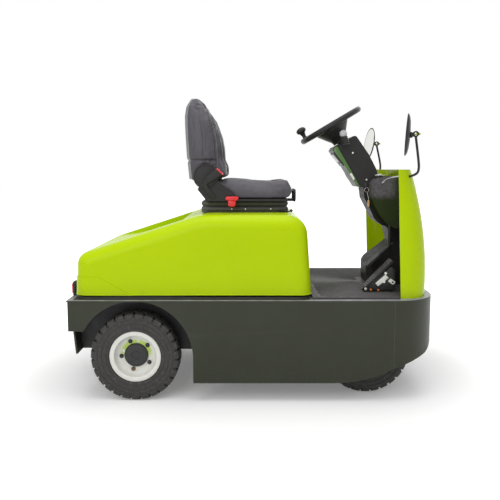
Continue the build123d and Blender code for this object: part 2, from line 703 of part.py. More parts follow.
def groove_cutter():
    """One tread groove, with x outward from the axle and z inboard from the tyre's face."""
    floor_r = TYRE_R - GROOVE_DEPTH
    section = outline(
        (
            (TYRE_R - GROOVE_SHOULDER, -1),
            (floor_r - GROOVE_DEPTH / 2, GROOVE_DEPTH - 1),
            (floor_r, GROOVE_DEPTH + 3),
            (floor_r, GROOVE_REACH),
            (TYRE_R + 1, GROOVE_REACH),
            (TYRE_R + 1, -1),
        )
    )
    with BuildPart() as cutter:
        with BuildSketch(Plane.XZ):
            add(section)
        extrude(amount=GROOVE_WIDTH / 2, both=True)
    return cutter.part


def save_wheel(name, axle_x, face_y):
    """Tyre, rim and hub of one axle, right and left."""
    bead = RIM_EDGE + RIM_WALL
    wall_r = RIM_FLANGE_R + RIM_WALL
    far_face = TYRE_WIDTH
    tyre_section = outline(
        (
            (bead, BEAD_R),
            (bead, RIM_FLANGE_R),
            (SIDEWALL_BULGE, wall_r),
            (0, (wall_r + TYRE_R) / 2),
            (0, TYRE_R - TYRE_SHOULDER),
            (TYRE_SHOULDER / 4, TYRE_R - TYRE_SHOULDER / 3),
            (TYRE_SHOULDER, TYRE_R),
            (far_face - TYRE_SHOULDER, TYRE_R),
            (far_face - TYRE_SHOULDER / 4, TYRE_R - TYRE_SHOULDER / 3),
            (far_face, TYRE_R - TYRE_SHOULDER),
            (far_face, (wall_r + TYRE_R) / 2),
            (far_face - SIDEWALL_BULGE, wall_r),
            (far_face - bead, RIM_FLANGE_R),
            (far_face - bead, BEAD_R),
        )
    )
    down = (0, 0, -1)
    outer_side = Plane(origin=(axle_x, -face_y, AXLE_Z), x_dir=down, z_dir=(0, 1, 0))
    inner_side = Plane(origin=(axle_x, -face_y + TYRE_WIDTH, AXLE_Z), x_dir=down, z_dir=(0, -1, 0))
    with BuildPart() as tyre:
        add(spun(tyre_section, axle_x, face_y))
        for plane, first in ((outer_side, 180 / LUGS), (inner_side, 0)):
            with Locations(plane):
                with PolarLocations(0, LUGS, start_angle=first):
                    add(groove_cutter(), mode=Mode.SUBTRACT)
    save_both(tyre, name + "_tyre")

    far = TYRE_WIDTH - RIM_EDGE
    rim_section = outline(
        (
            (RIM_EDGE, BEAD_R - RIM_WALL),
            (RIM_EDGE, RIM_FLANGE_R),
            (bead, RIM_FLANGE_R),
            (bead, BEAD_R),
            (far - RIM_WALL, BEAD_R),
            (far - RIM_WALL, RIM_FLANGE_R),
            (far, RIM_FLANGE_R),
            (far, BEAD_R - RIM_WALL),
            (DISC_BACK, BEAD_R - RIM_WALL),
            (DISC_BACK, HUB_CAP_R),
            (DISC_FACE, HUB_CAP_R),
            (DISC_FACE, BEAD_R - RIM_WALL),
        ),
        (0, 0, 0, 0, 0, 0, 0, 0, 0, 0, 0, DISC_CORNER),
    )
    with BuildPart() as rim:
        add(spun(rim_section, axle_x, face_y))
        with Locations(Plane(origin=(axle_x, -face_y, AXLE_Z), z_dir=(0, 1, 0))):
            with PolarLocations(BOLT_PCD / 2, WHEEL_BOLTS):
                Cylinder(BOLT_R, TYRE_WIDTH, align=BOTTOM, mode=Mode.SUBTRACT)
    save_both(rim, name + "_rim")

    hub_end = DISC_BACK + HUB_DRUM_DEPTH
    hub_section = outline(
        (
            (DISC_BACK, HUB_CAP_R),
            (DISC_BACK, BOLT_PCD / 2 + 2 * BOLT_R),
            (DISC_BACK + BOLT_HEAD, BOLT_PCD / 2 + 2 * BOLT_R),
            (DISC_BACK + BOLT_HEAD, HUB_DRUM_R),
            (hub_end, HUB_DRUM_R),
            (hub_end, 0),
            (DISC_FACE - HUB_CAP_PROUD, 0),
            (DISC_FACE - HUB_CAP_PROUD, HUB_CAP_R - 4),
            (DISC_FACE - HUB_CAP_PROUD + 4, HUB_CAP_R),
        )
    )
    bore_section = outline(
        (
            (DISC_BACK + BOLT_HEAD - RUNNING_FIT, 0),
            (DISC_BACK + BOLT_HEAD - RUNNING_FIT, SPINDLE_R + RUNNING_FIT),
            (hub_end, SPINDLE_R + RUNNING_FIT),
            (hub_end, 0),
        )
    )
    with BuildPart() as hub:
        add(spun(hub_section, axle_x, face_y))
        add(spun(bore_section, axle_x, face_y), mode=Mode.SUBTRACT)
        with Locations(Plane(origin=(axle_x, -face_y + DISC_FACE - BOLT_HEAD, AXLE_Z), z_dir=(0, 1, 0))):
            with PolarLocations(BOLT_PCD / 2, WHEEL_BOLTS):
                Cylinder(BOLT_R, BOLT_HEAD + DISC_THICK, align=BOTTOM)
    save_both(hub, name + "_hub")


save_wheel("rear", REAR_AXLE_X, REAR_TYRE_FACE_Y)
save_wheel("front", FRONT_AXLE_X, FRONT_TYRE_FACE_Y)

BOSS_TOP_Z = AXLE_Z + BOSS_HEIGHT / 2
BOSS_BOTTOM_Z = AXLE_Z - BOSS_HEIGHT / 2
WEB_IN_Y = KINGPIN_Y + BOSS_R + AIR_GAP
ARM_BOTTOM_Z = BOSS_BOTTOM_Z - BOSS_GAP - KNUCKLE_ARM
KNUCKLE_HEIGHT = BOSS_HEIGHT + 2 * BOSS_GAP + 2 * KNUCKLE_ARM
TIE_X = FRONT_AXLE_X - STEER_ARM

# Front axle: the beam with its fore-and-aft pivot pin and a bored boss at each end
with BuildPart() as front_axle:
    with Locations((FRONT_AXLE_X, 0, AXLE_Z)):
        Box(BEAM_DEPTH, 2 * KINGPIN_Y, BEAM_HEIGHT)
        Cylinder(AXLE_PIVOT_R, BEAM_DEPTH + 2 * CARRIER_PLATE + BEAM_DEPTH / 2, rotation=(0, 90, 0))
    with Locations((FRONT_AXLE_X, KINGPIN_Y, AXLE_Z), (FRONT_AXLE_X, -KINGPIN_Y, AXLE_Z)):
        Cylinder(BOSS_R, BOSS_HEIGHT)
        Cylinder(KINGPIN_R + RUNNING_FIT, BOSS_HEIGHT, mode=Mode.SUBTRACT)
save(front_axle, "front_axle")

# Knuckle: a fork on the kingpin with the wheel spindle and the steering arm
with BuildPart() as knuckle:
    arm_levels = [ARM_BOTTOM_Z, BOSS_TOP_Z + BOSS_GAP]
    for level in arm_levels:
        with BuildSketch(Plane.XY.offset(level)):
            with Locations((FRONT_AXLE_X, -KINGPIN_Y)):
                Circle(BOSS_R)
                Rectangle(2 * BOSS_R, WEB_IN_Y + KNUCKLE_WEB - KINGPIN_Y, align=(Align.CENTER, Align.MAX))
        extrude(amount=KNUCKLE_ARM)
    with BuildSketch(Plane.XY.offset(ARM_BOTTOM_Z)):
        with Locations((FRONT_AXLE_X, -KINGPIN_Y), (TIE_X, -KINGPIN_Y)):
            Circle(STEER_ARM_WIDTH / 2)
        with Locations((TIE_X, -KINGPIN_Y)):
            Rectangle(STEER_ARM, STEER_ARM_WIDTH, align=REAR_EDGE)
    extrude(amount=KNUCKLE_ARM)
    with Locations((FRONT_AXLE_X, -WEB_IN_Y, ARM_BOTTOM_Z)):
        Box(2 * BOSS_R, KNUCKLE_WEB, KNUCKLE_HEIGHT, align=(Align.CENTER, Align.MAX, Align.MIN))
    with Locations((FRONT_AXLE_X, -KINGPIN_Y, ARM_BOTTOM_Z)):
        Cylinder(KINGPIN_R, KNUCKLE_HEIGHT, align=BOTTOM)
    spindle_end = FRONT_TYRE_FACE_Y - DISC_BACK - BOLT_HEAD
    with Locations(Plane(origin=(FRONT_AXLE_X, -WEB_IN_Y, AXLE_Z), z_dir=(0, -1, 0))):
        Cylinder(SPINDLE_R, spindle_end - WEB_IN_Y, align=BOTTOM)
    with Locations((TIE_X, -KINGPIN_Y, ARM_BOTTOM_Z)):
        Cylinder(TIE_PIN_R + RUNNING_FIT, 3 * KNUCKLE_ARM, mode=Mode.SUBTRACT)
save_both(knuckle, "knuckle")

# Tie rod: a bar below the steering arms with a pin up through each
with BuildPart() as tie_rod:
    tie_z = ARM_BOTTOM_Z - TIE_DROP
    with Locations((TIE_X, 0, tie_z)):
        Cylinder(TIE_ROD_R, 2 * KINGPIN_Y, rotation=(90, 0, 0))
    eye_reach = TIE_ROD_R + TIE_PIN_R / 2
    with Locations((TIE_X, KINGPIN_Y, tie_z - eye_reach), (TIE_X, -KINGPIN_Y, tie_z - eye_reach)):
        Cylinder(STEER_ARM_WIDTH / 2, TIE_DROP + eye_reach - BOSS_GAP, align=BOTTOM)
        Cylinder(TIE_PIN_R, TIE_DROP + eye_reach + KNUCKLE_ARM, align=BOTTOM)
save(tie_rod, "tie_rod")


def shield_outline(inset, rear_reach):
    """Side view of the shield drawn in by inset, its open rear edge moved back by rear_reach."""
    with BuildSketch() as side:
        with BuildLine():
            front = Spline(
                (SHIELD_NOSE_X - inset, DECK_Z),
                (SHIELD_BULGE_X - inset, SHIELD_BULGE_Z),
                (SHIELD_TOP_X - inset, SHIELD_TOP_Z + inset),
            )
            Polyline(
                front @ 1,
                (SHIELD_REAR_TOP_X - rear_reach, SHIELD_TOP_Z + inset),
                (SHIELD_REAR_X - rear_reach, DECK_Z),
                front @ 0,
            )
        make_face()
    return side.sketch


def shield_form(inset, rear_reach):
    """Solid inside the shield's outer face, its two front corners rounded in plan."""
    with BuildPart() as form:
        add(side_slab(shield_outline(inset, rear_reach), SHIELD_HALF - inset, 2 * (SHIELD_HALF - inset)))
        front = form.faces().filter_by(Axis.Y, reverse=True).sort_by(Axis.X)[-1]
        corners = front.edges().filter_by(lambda edge: abs(edge.center().Y) > SHIELD_HALF - inset - 1)
        fillet(corners, radius=SHIELD_CORNER_R - inset)
    return form.part


# Front shield: a moulded wrap, open to the rear and at the top, with a lamp hole each side
with BuildPart() as front_shield:
    add(shield_form(0, 0))
    add(shield_form(SHIELD_WALL, 2 * SHIELD_CORNER_R), mode=Mode.SUBTRACT)
    with Locations((HEADLAMP_BACK_X, HEADLAMP_Y, HEADLAMP_Z), (HEADLAMP_BACK_X, -HEADLAMP_Y, HEADLAMP_Z)):
        Cylinder(HEADLAMP_R, LENGTH / 4, rotation=(0, 90, 0), align=BOTTOM, mode=Mode.SUBTRACT)
save(front_shield, "front_shield")

# Headlamp: a round sealed lamp set into the shield, a domed lens inside its bezel
LAMP_FRONT = SHIELD_BULGE_X + HEADLAMP_PROUD - HEADLAMP_BACK_X
with BuildPart() as headlamp:
    lens_r = HEADLAMP_R - HEADLAMP_BEZEL
    lamp_section = outline(
        (
            (0, 0),
            (HEADLAMP_R, 0),
            (HEADLAMP_R, LAMP_FRONT - 2),
            (HEADLAMP_R - 2, LAMP_FRONT),
            (lens_r, LAMP_FRONT),
            (lens_r, LAMP_FRONT - HEADLAMP_BEZEL / 2),
            (lens_r / 2, LAMP_FRONT + HEADLAMP_DOME / 2),
            (0, LAMP_FRONT + HEADLAMP_DOME / 2),
        )
    )
    lamp_base = (HEADLAMP_BACK_X, -HEADLAMP_Y, HEADLAMP_Z)
    with BuildSketch(Plane(origin=lamp_base, x_dir=(0, 0, 1), z_dir=(0, 1, 0))):
        add(lamp_section)
    revolve(axis=Axis(lamp_base, (1, 0, 0)))
save_both(headlamp, "headlamp")

# Inner panel: the black wall behind the lamps that the column and the pod are fixed to
with BuildPart() as firewall:
    with Locations((FIREWALL_X, 0, DECK_Z)):
        Box(FIREWALL, 2 * FIREWALL_HALF, FIREWALL_TOP_Z - DECK_Z, align=REAR_BOTTOM)
    add(shield_form(SHIELD_WALL, 2 * SHIELD_CORNER_R), mode=Mode.INTERSECT)
save(firewall, "firewall")

# Column head: the switch box under the steering wheel with the sloping display panel
STEER_NORMAL = (-sin(radians(WHEEL_TILT)), 0, cos(radians(WHEEL_TILT)))
STEER_UP = (cos(radians(WHEEL_TILT)), 0, sin(radians(WHEEL_TILT)))


def steer_plane(rise):
    """Plane square to the steering axis, at a height above the steering wheel's centre."""
    return Plane(
        origin=(WHEEL_X + rise * STEER_NORMAL[0], 0, WHEEL_Z + rise * STEER_NORMAL[2]),
        x_dir=STEER_UP,
        z_dir=STEER_NORMAL,
    )


head_points = ((-287, 708), (-189, 765), (-120, 668), (-75, 584), (-77, 527), (-109, 496), (-165, 506))
panel_points = ((-305, 688), (-295, 705), (-280, 712), (-160, 508), (-174, 505), (-237, 606))
with BuildPart() as column_head:
    head_outline = outline(from_datum(head_points, COLUMN_X, DECK_Z), (0, 16, 0, 50, 25, 16, 0))
    panel_outline = outline(from_datum(panel_points, COLUMN_X, DECK_Z), (5, 5, 0, 0, 4, 0))
    add(side_slab(head_outline, HEAD_HALF, 2 * HEAD_HALF))
    add(side_slab(panel_outline, PANEL_HALF, 2 * PANEL_HALF))
    with Locations(steer_plane(-STEM_LENGTH - AIR_GAP)):
        Cylinder(STEM_R + RUNNING_FIT, STEM_LENGTH, align=BOTTOM, mode=Mode.SUBTRACT)
save(column_head, "column_head")

# Pedestal: the moulded column cover from its foot on the mat, through the waist, to the head
foot_points = (
    (COLUMN_TO_WALL, MAT_THICK),
    (-115, MAT_THICK),
    (FOOT_REAR, 52),
    (FOOT_REAR, 112),
    (-105, 134),
    (-30, 190),
    (8, 222),
    (COLUMN_TO_WALL, 242),
)
neck_points = (
    (COLUMN_TO_WALL, 162),
    (-22, 182),
    (3, 227),
    (-19, 303),
    (-47, 312),
    (-82, 338),
    (-106, 389),
    (-137, 447),
    (-145, 512),
    (-109, 500),
    (-75, 532),
    (COLUMN_TO_WALL, 532),
)
with BuildPart() as pedestal:
    with BuildSketch(Plane.XY.offset(MAT_TOP_Z)) as foot_plan:
        with Locations((COLUMN_X + FOOT_REAR, 0)):
            Rectangle(COLUMN_TO_WALL - FOOT_REAR, 2 * PEDESTAL_HALF, align=REAR_EDGE)
        fillet(foot_plan.vertices().group_by(Axis.X)[0], radius=FOOT_CORNER_R)
    extrude(amount=DECK_Z)
    foot_outline = outline(from_datum(foot_points, COLUMN_X, DECK_Z), (0, 0, 20, 20, 20, 0, 0, 0))
    add(side_slab(foot_outline, PEDESTAL_HALF, 2 * PEDESTAL_HALF), mode=Mode.INTERSECT)
    neck_radii = (0, 0, 12, 20, 0, 40, 0, 20, 0, 0, 0, 0)
    neck_outline = outline(from_datum(neck_points, COLUMN_X, DECK_Z), neck_radii)
    add(side_slab(neck_outline, COLUMN_HALF, 2 * COLUMN_HALF))
    add(shield_form(SHIELD_WALL, 2 * SHIELD_CORNER_R), mode=Mode.INTERSECT)
    add(column_head.part, mode=Mode.SUBTRACT)
save(pedestal, "pedestal")

# Dash pod: the round-bottomed console each side of the column
pod_points = (
    (COLUMN_TO_WALL, 304),
    (-6, 304),
    (-41, 324),
    (-71, 358),
    (-103, 413),
    (POD_REAR, 454),
    (POD_REAR, 522),
    (-92, 552),
    (COLUMN_TO_WALL, FIREWALL_TOP_Z - DECK_Z),
)
with BuildPart() as dash_pod:
    with BuildSketch(Plane.XY.offset(DECK_Z)) as pod_plan:
        with Locations((COLUMN_X + POD_REAR, 0)):
            Rectangle(COLUMN_TO_WALL - POD_REAR, 2 * POD_HALF, align=REAR_EDGE)
        fillet(pod_plan.vertices().group_by(Axis.X)[0], radius=POD_CORNER_R)
    extrude(amount=FIREWALL_TOP_Z)
    pod_outline = outline(from_datum(pod_points, COLUMN_X, DECK_Z), (0, 20, 30, 30, 30, 20, 16, 10, 0))
    add(side_slab(pod_outline, POD_HALF, 2 * POD_HALF), mode=Mode.INTERSECT)
    add(shield_form(SHIELD_WALL, 2 * SHIELD_CORNER_R), mode=Mode.INTERSECT)
    add(pedestal.part, mode=Mode.SUBTRACT)
    add(column_head.part, mode=Mode.SUBTRACT)
save(dash_pod, "dash_pod")

# Steering wheel: grip ring, spokes that run flat and then dive to the hub, stem and the spinner knob
with BuildPart() as steering_wheel:
    grip_centre = WHEEL_R - WHEEL_GRIP_R
    with Locations(steer_plane(0)):
        Torus(grip_centre, WHEEL_GRIP_R)
    dish_section = outline(
        (
            (0, -WHEEL_DISH),
            (WHEEL_HUB_R, -WHEEL_DISH),
            (WHEEL_DISH_R, -WHEEL_DISH_WALL),
            (grip_centre, 0),
            (grip_centre, -WHEEL_DISH_WALL),
            (WHEEL_DISH_R, -2 * WHEEL_DISH_WALL),
            (WHEEL_BOSS_R, -WHEEL_DISH),
            (WHEEL_HUB_R, -WHEEL_HUB_BOTTOM),
            (0, -WHEEL_HUB_BOTTOM),
        ),
        (0, 14, 24, 0, 0, 20, 16, 0, 0),
    )
    with BuildSketch(Plane(origin=(WHEEL_X, 0, WHEEL_Z), x_dir=STEER_UP, z_dir=(0, -1, 0))):
        add(dish_section)
    revolve(axis=Axis((WHEEL_X, 0, WHEEL_Z), STEER_NORMAL))
    with BuildSketch(steer_plane(-WHEEL_HUB_BOTTOM - 1)):
        Circle(WHEEL_R - 2 * WHEEL_GRIP_R - 2)
        Circle(WHEEL_BOSS_R, mode=Mode.SUBTRACT)
        with PolarLocations(0, SPOKES, start_angle=90):
            Rectangle(WHEEL_R, SPOKE_WIDTH, align=REAR_EDGE, mode=Mode.SUBTRACT)
    extrude(amount=WHEEL_HUB_BOTTOM + WHEEL_GRIP_R, mode=Mode.SUBTRACT)
    with Locations(steer_plane(-STEM_LENGTH)):
        Cylinder(STEM_R, STEM_LENGTH - WHEEL_DISH, align=BOTTOM)
    with Locations(steer_plane(0)):
        with Locations((-grip_centre, 0, 0)):
            Cylinder(KNOB_STEM_R, KNOB_RISE, align=BOTTOM)
        with Locations((-grip_centre, 0, KNOB_RISE)):
            Sphere(KNOB_R)
save(steering_wheel, "steering_wheel")

# Direction lever: a knob on a short arm at the right of the column head
with BuildPart() as direction_lever:
    lever_x, lever_z = from_datum(((-246, 714),), COLUMN_X, DECK_Z)[0]
    with Locations(Plane(origin=(lever_x, -LEVER_Y, lever_z), z_dir=(-13, 0, 55))):
        Cylinder(LEVER_R, LEVER_HEIGHT, align=BOTTOM)
    fillet(direction_lever.edges().sort_by(Axis.Z)[-1], radius=LEVER_R / 2)
    with Locations(Plane(origin=(lever_x, -HEAD_HALF, lever_z), z_dir=(0, -1, 0))):
        Cylinder(LEVER_ARM_R, LEVER_Y - HEAD_HALF, align=BOTTOM)
save(direction_lever, "direction_lever")

# Accelerator: a long sloping treadle on its bracket and foot
treadle_points = ((-166, 22), (-172, 30), (-41, 164), (-33, 158))
bracket_points = ((-177, MAT_THICK), (-177, 22), (-147, 38), (-57, 128), (-37, MAT_THICK))
with BuildPart() as accelerator_pedal:
    treadle = outline(from_datum(treadle_points, COLUMN_X, DECK_Z), (0, 3, 3, 0))
    bracket = outline(from_datum(bracket_points, COLUMN_X, DECK_Z))
    add(side_slab(treadle, PEDAL_Y + PEDAL_WIDTH / 2, PEDAL_WIDTH))
    add(side_slab(bracket, PEDAL_Y + PEDAL_THICK / 2, PEDAL_THICK))
    with Locations((COLUMN_X + bracket_points[0][0], -PEDAL_Y, MAT_TOP_Z)):
        Box(bracket_points[-1][0] - bracket_points[0][0], PEDAL_WIDTH, FLANGE, align=REAR_BOTTOM)
save(accelerator_pedal, "accelerator_pedal")

# Brake: a pad hung from the dash pod by its arm
pad_points = ((-133, 112), (-139, 120), (-81, 174), (-75, 166))
arm_points = ((-97, 148), (-25, 212), (-25, 340))
with BuildPart() as brake_pedal:
    pad = outline(from_datum(pad_points, COLUMN_X, DECK_Z), (3, 3, 3, 3))
    add(side_slab(pad, BRAKE_Y + BRAKE_WIDTH / 2, BRAKE_WIDTH))
    arm_line = [(x, -BRAKE_Y, z) for x, z in from_datum(arm_points, COLUMN_X, DECK_Z)]
    with BuildLine():
        FilletPolyline(*arm_line, radius=3 * BRAKE_ARM_R)
    with BuildSketch(Plane(origin=arm_line[0], z_dir=Vector(*arm_line[1]) - Vector(*arm_line[0]))):
        Circle(BRAKE_ARM_R)
    sweep()
    add(dash_pod.part, mode=Mode.SUBTRACT)
save(brake_pedal, "brake_pedal")

# Mirror: an oval head clamped to a bent tube that leaves the shield's front corner
stem_points = ((-38, 573), (36, 582), (16, MIRROR_RISE))
with BuildPart() as mirror_unit:
    stem = [(x, -MIRROR_Y, z) for x, z in from_datum(stem_points, COLUMN_X, DECK_Z)]
    with BuildLine():
        FilletPolyline(*stem, radius=MIRROR_BEND_R)
    with BuildSketch(Plane(origin=stem[0], z_dir=Vector(*stem[1]) - Vector(*stem[0]))):
        Circle(MIRROR_ARM_R)
    sweep()
    toe, lean = radians(MIRROR_TOE), radians(MIRROR_LEAN)
    face_dir = (-cos(toe) * cos(lean), sin(toe) * cos(lean), sin(lean))
    mirror_middle = (MIRROR_X, -MIRROR_Y, MIRROR_Z)
    with BuildSketch(Plane(origin=mirror_middle, x_dir=(sin(toe), cos(toe), 0), z_dir=face_dir)):
        Ellipse(MIRROR_WIDTH / 2, MIRROR_HEIGHT / 2)
    extrude(amount=MIRROR_THICK / 2, both=True)
    with Locations(Plane(origin=mirror_middle, z_dir=(1, 0, 0))):
        Cylinder(MIRROR_CLAMP_R, stem[-1][0] - MIRROR_X + MIRROR_CLAMP_R, align=BOTTOM)
    add(shield_form(0, 0), mode=Mode.SUBTRACT)
save_both(mirror_unit, "mirror")

# Tail lamp: a lens on a base that stands on the rear flange
with BuildPart() as tail_lamp:
    lamp_middle_z = DECK_Z + TAIL_LAMP_HEIGHT / 2
    with BuildSketch(Plane(origin=(TAIL_X, -TAIL_LAMP_Y, lamp_middle_z), x_dir=(0, 1, 0), z_dir=(1, 0, 0))):
        RectangleRounded(TAIL_LAMP_WIDTH, TAIL_LAMP_HEIGHT, TAIL_LAMP_CORNER)
        with Locations((0, -TAIL_LAMP_HEIGHT / 2)):
            Rectangle(TAIL_LAMP_WIDTH, TAIL_LAMP_HEIGHT / 2, align=(Align.CENTER, Align.MIN))
    extrude(amount=TAIL_LAMP_BASE)
    with BuildSketch(Plane(origin=(TAIL_X, -TAIL_LAMP_Y, lamp_middle_z), x_dir=(0, 1, 0), z_dir=(1, 0, 0))):
        RectangleRounded(
            TAIL_LAMP_WIDTH - 2 * TAIL_LENS_MARGIN,
            TAIL_LAMP_HEIGHT - 2 * TAIL_LENS_MARGIN,
            TAIL_LAMP_CORNER,
        )
    extrude(amount=-TAIL_LENS_PROUD)
save_both(tail_lamp, "tail_lamp")

# Seat base: the suspension on its base plate, inside ribbed rubber bellows
with BuildPart() as seat_base:
    bellows_x = SEAT_X + BELLOWS_SHIFT
    with BuildSketch(Plane.XY.offset(HOOD_TOP_Z)):
        with Locations((bellows_x, 0)):
            RectangleRounded(
                BELLOWS_LENGTH + 2 * BASE_PLATE_MARGIN,
                2 * (BELLOWS_HALF + BASE_PLATE_MARGIN),
                BELLOWS_CORNER_R,
            )
    extrude(amount=BASE_PLATE)
    rib = (SEAT_RISE - BASE_PLATE) / BELLOWS_RIBS
    for level in range(BELLOWS_RIBS):
        rib_z = HOOD_TOP_Z + BASE_PLATE + level * rib
        with BuildPart(mode=Mode.PRIVATE) as bellows_rib:
            with BuildSketch(Plane.XY.offset(rib_z)):
                with Locations((bellows_x, 0)):
                    RectangleRounded(BELLOWS_LENGTH, 2 * BELLOWS_HALF, BELLOWS_CORNER_R)
            extrude(amount=rib)
            rims = bellows_rib.faces().filter_by(Axis.Z).edges()
            fillet(rims, radius=BELLOWS_RIB_R)
        add(bellows_rib.part)
save(seat_base, "seat_base")

# Seat frame: the pan between two side covers with the round recliners
side_points = ((0, 0), (152, 0), (152, 15), (130, 48), (70, 89), (40, 118), (-42, 60), (-4, 12))
with BuildPart() as seat_frame:
    with Locations((SEAT_X, 0, SEAT_PAN_Z)):
        Box(SEAT_PAN_LENGTH, 2 * (SEAT_HALF + SEAT_SIDE), SEAT_PAN, align=REAR_BOTTOM)
    side_cover = outline(from_datum(side_points, SEAT_X, SEAT_PAN_Z), (0, 0, 6, 12, 30, 0, 12, 0))
    recliner = (SEAT_X + RECLINER_SHIFT, SEAT_PAN_Z + RECLINER_RISE)
    for right_y in (SEAT_HALF + SEAT_SIDE, -SEAT_HALF):
        add(side_slab(side_cover, right_y, SEAT_SIDE))
        with Locations(Plane(origin=(recliner[0], -right_y, recliner[1]), z_dir=(0, 1, 0))):
            Cylinder(RECLINER_R, SEAT_SIDE, align=BOTTOM)
save(seat_frame, "seat_frame")

# Seat cushion and backrest
cushion_points = ((6, 0), (6, 80), (112, 95), (276, 91), (401, 97), (430, 46), (414, 12), (389, 0))
with BuildPart() as seat_cushion:
    with BuildSketch(Plane.XY.offset(SEAT_PAN_TOP_Z)) as cushion_plan:
        with Locations((SEAT_X, 0)):
            Rectangle(cushion_points[5][0], 2 * SEAT_HALF, align=REAR_EDGE)
        fillet(cushion_plan.vertices().group_by(Axis.X)[-1], radius=CUSHION_CORNER_R)
    extrude(amount=SEAT_HALF)
    cushion_radii = (0, 20, 60, 60, 22, 20, 20, 0)
    cushion_outline = outline(from_datum(cushion_points, SEAT_X, SEAT_PAN_TOP_Z), cushion_radii)
    add(side_slab(cushion_outline, SEAT_HALF, 2 * SEAT_HALF), mode=Mode.INTERSECT)
save(seat_cushion, "seat_cushion")

back_points = (
    (-96, 112),
    (-104, 325),
    (-107, 434),
    (-76, 503),
    (-36, 503),
    (-2, 460),
    (38, 400),
    (70, 322),
    (80, 232),
    (83, 182),
    (112, 134),
    (98, 119),
    (-74, 109),
)
back_front = (
    (-SEAT_HALF, SEAT_PAN_TOP_Z),
    (-SEAT_HALF, SEAT_PAN_Z + BACK_TAPER_FROM),
    (-BACK_TOP_HALF, SEAT_PAN_Z + back_points[3][1]),
    (BACK_TOP_HALF, SEAT_PAN_Z + back_points[3][1]),
    (SEAT_HALF, SEAT_PAN_Z + BACK_TAPER_FROM),
    (SEAT_HALF, SEAT_PAN_TOP_Z),
)
with BuildPart() as seat_back:
    back_outline = outline(
        from_datum(back_points, SEAT_X, SEAT_PAN_Z), (18, 0, 40, 26, 20, 40, 60, 60, 0, 20, 6, 6, 10)
    )
    add(side_slab(back_outline, SEAT_HALF, 2 * SEAT_HALF))
    with BuildSketch(Plane.YZ.offset(SEAT_X - SEAT_HALF)):
        add(outline(back_front, (0, 0, BACK_SHOULDER_R, BACK_SHOULDER_R, 0, 0)))
    extrude(amount=2 * SEAT_HALF, mode=Mode.INTERSECT)
save(seat_back, "seat_back")

# Tow coupling: a stack of jaws on a back that follows the bumper and the tail plate, bored for the pin
HITCH_TOP_Z = HITCH_Z + (HITCH_JAWS - 1) * HITCH_STEP + HITCH_JAW
HITCH_FOOT_Z = HITCH_Z - HITCH_BACK_MARGIN
HITCH_BACK_X = TAIL_FACE_X - HITCH_BACK
foot_share = (FENDER_BOTTOM_Z - HITCH_FOOT_Z) / (FENDER_BOTTOM_Z - TAIL_PLATE_BOTTOM_Z)
with BuildPart() as tow_coupling:
    back = outline(
        (
            (HITCH_BACK_X, HITCH_FOOT_Z),
            (TAIL_FACE_X + TAIL_PLATE_LEAN * foot_share, HITCH_FOOT_Z),
            (TAIL_FACE_X, FENDER_BOTTOM_Z),
            (TAIL_FACE_X, HITCH_TOP_Z + HITCH_BACK_MARGIN),
            (HITCH_BACK_X, HITCH_TOP_Z + HITCH_BACK_MARGIN),
        )
    )
    add(side_slab(back, HITCH_BACK_HALF, 2 * HITCH_BACK_HALF))
    for jaw in range(HITCH_JAWS):
        with BuildSketch(Plane.XY.offset(HITCH_Z + jaw * HITCH_STEP)) as jaw_plan:
            with Locations((HITCH_END_X, 0)):
                Rectangle(HITCH_BACK_X - HITCH_END_X, 2 * HITCH_HALF, align=REAR_EDGE)
            fillet(jaw_plan.vertices().group_by(Axis.X)[0], radius=HITCH_EDGE - HITCH_PIN_R)
        extrude(amount=HITCH_JAW)
    with Locations((HITCH_PIN_X, 0, HITCH_Z)):
        Cylinder(HITCH_PIN_R + RUNNING_FIT, 2 * HITCH_TOP_Z, mode=Mode.SUBTRACT)
save(tow_coupling, "tow_coupling")

# Tow pin: hangs by its head in the top jaw and lifts out by its ring
with BuildPart() as tow_pin:
    with Locations((HITCH_PIN_X, 0, HITCH_Z - HITCH_PIN_TAIL)):
        Cylinder(HITCH_PIN_R, HITCH_TOP_Z - HITCH_Z + HITCH_PIN_TAIL, align=BOTTOM)
    with Locations((HITCH_PIN_X, 0, HITCH_TOP_Z)):
        Cylinder(HITCH_PIN_HEAD_R, HITCH_PIN_HEAD, align=BOTTOM)
    ring_r = HITCH_PIN_HEAD_R - HITCH_RING_R
    with Locations((HITCH_PIN_X, 0, HITCH_TOP_Z + HITCH_PIN_HEAD + ring_r)):
        Torus(ring_r, HITCH_RING_R, rotation=(0, 90, 0))
save(tow_pin, "tow_pin")
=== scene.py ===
"""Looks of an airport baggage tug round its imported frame, laid out as an add-on and run as a script."""

import json
import math

import bmesh
import bpy
from bpy.props import FloatProperty, FloatVectorProperty, IntProperty, PointerProperty
from mathutils import Matrix, Vector
from mathutils.bvhtree import BVHTree


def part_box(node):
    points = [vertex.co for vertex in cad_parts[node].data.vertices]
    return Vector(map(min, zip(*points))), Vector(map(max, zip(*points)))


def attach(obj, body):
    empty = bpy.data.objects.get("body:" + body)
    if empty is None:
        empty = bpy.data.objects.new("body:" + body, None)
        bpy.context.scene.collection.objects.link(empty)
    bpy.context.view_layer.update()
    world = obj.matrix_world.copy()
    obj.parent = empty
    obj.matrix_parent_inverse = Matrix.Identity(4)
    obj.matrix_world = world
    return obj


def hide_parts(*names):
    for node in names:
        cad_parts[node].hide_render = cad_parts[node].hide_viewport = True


bl_info = {
    "name": "Airport baggage tug",
    "version": (1, 0, 0),
    "blender": (4, 5, 0),
    "location": "3D View > Sidebar > Tug",
    "description": "Finishes, upholstery and small parts of a four-wheel electric tow tractor",
    "category": "Object",
}

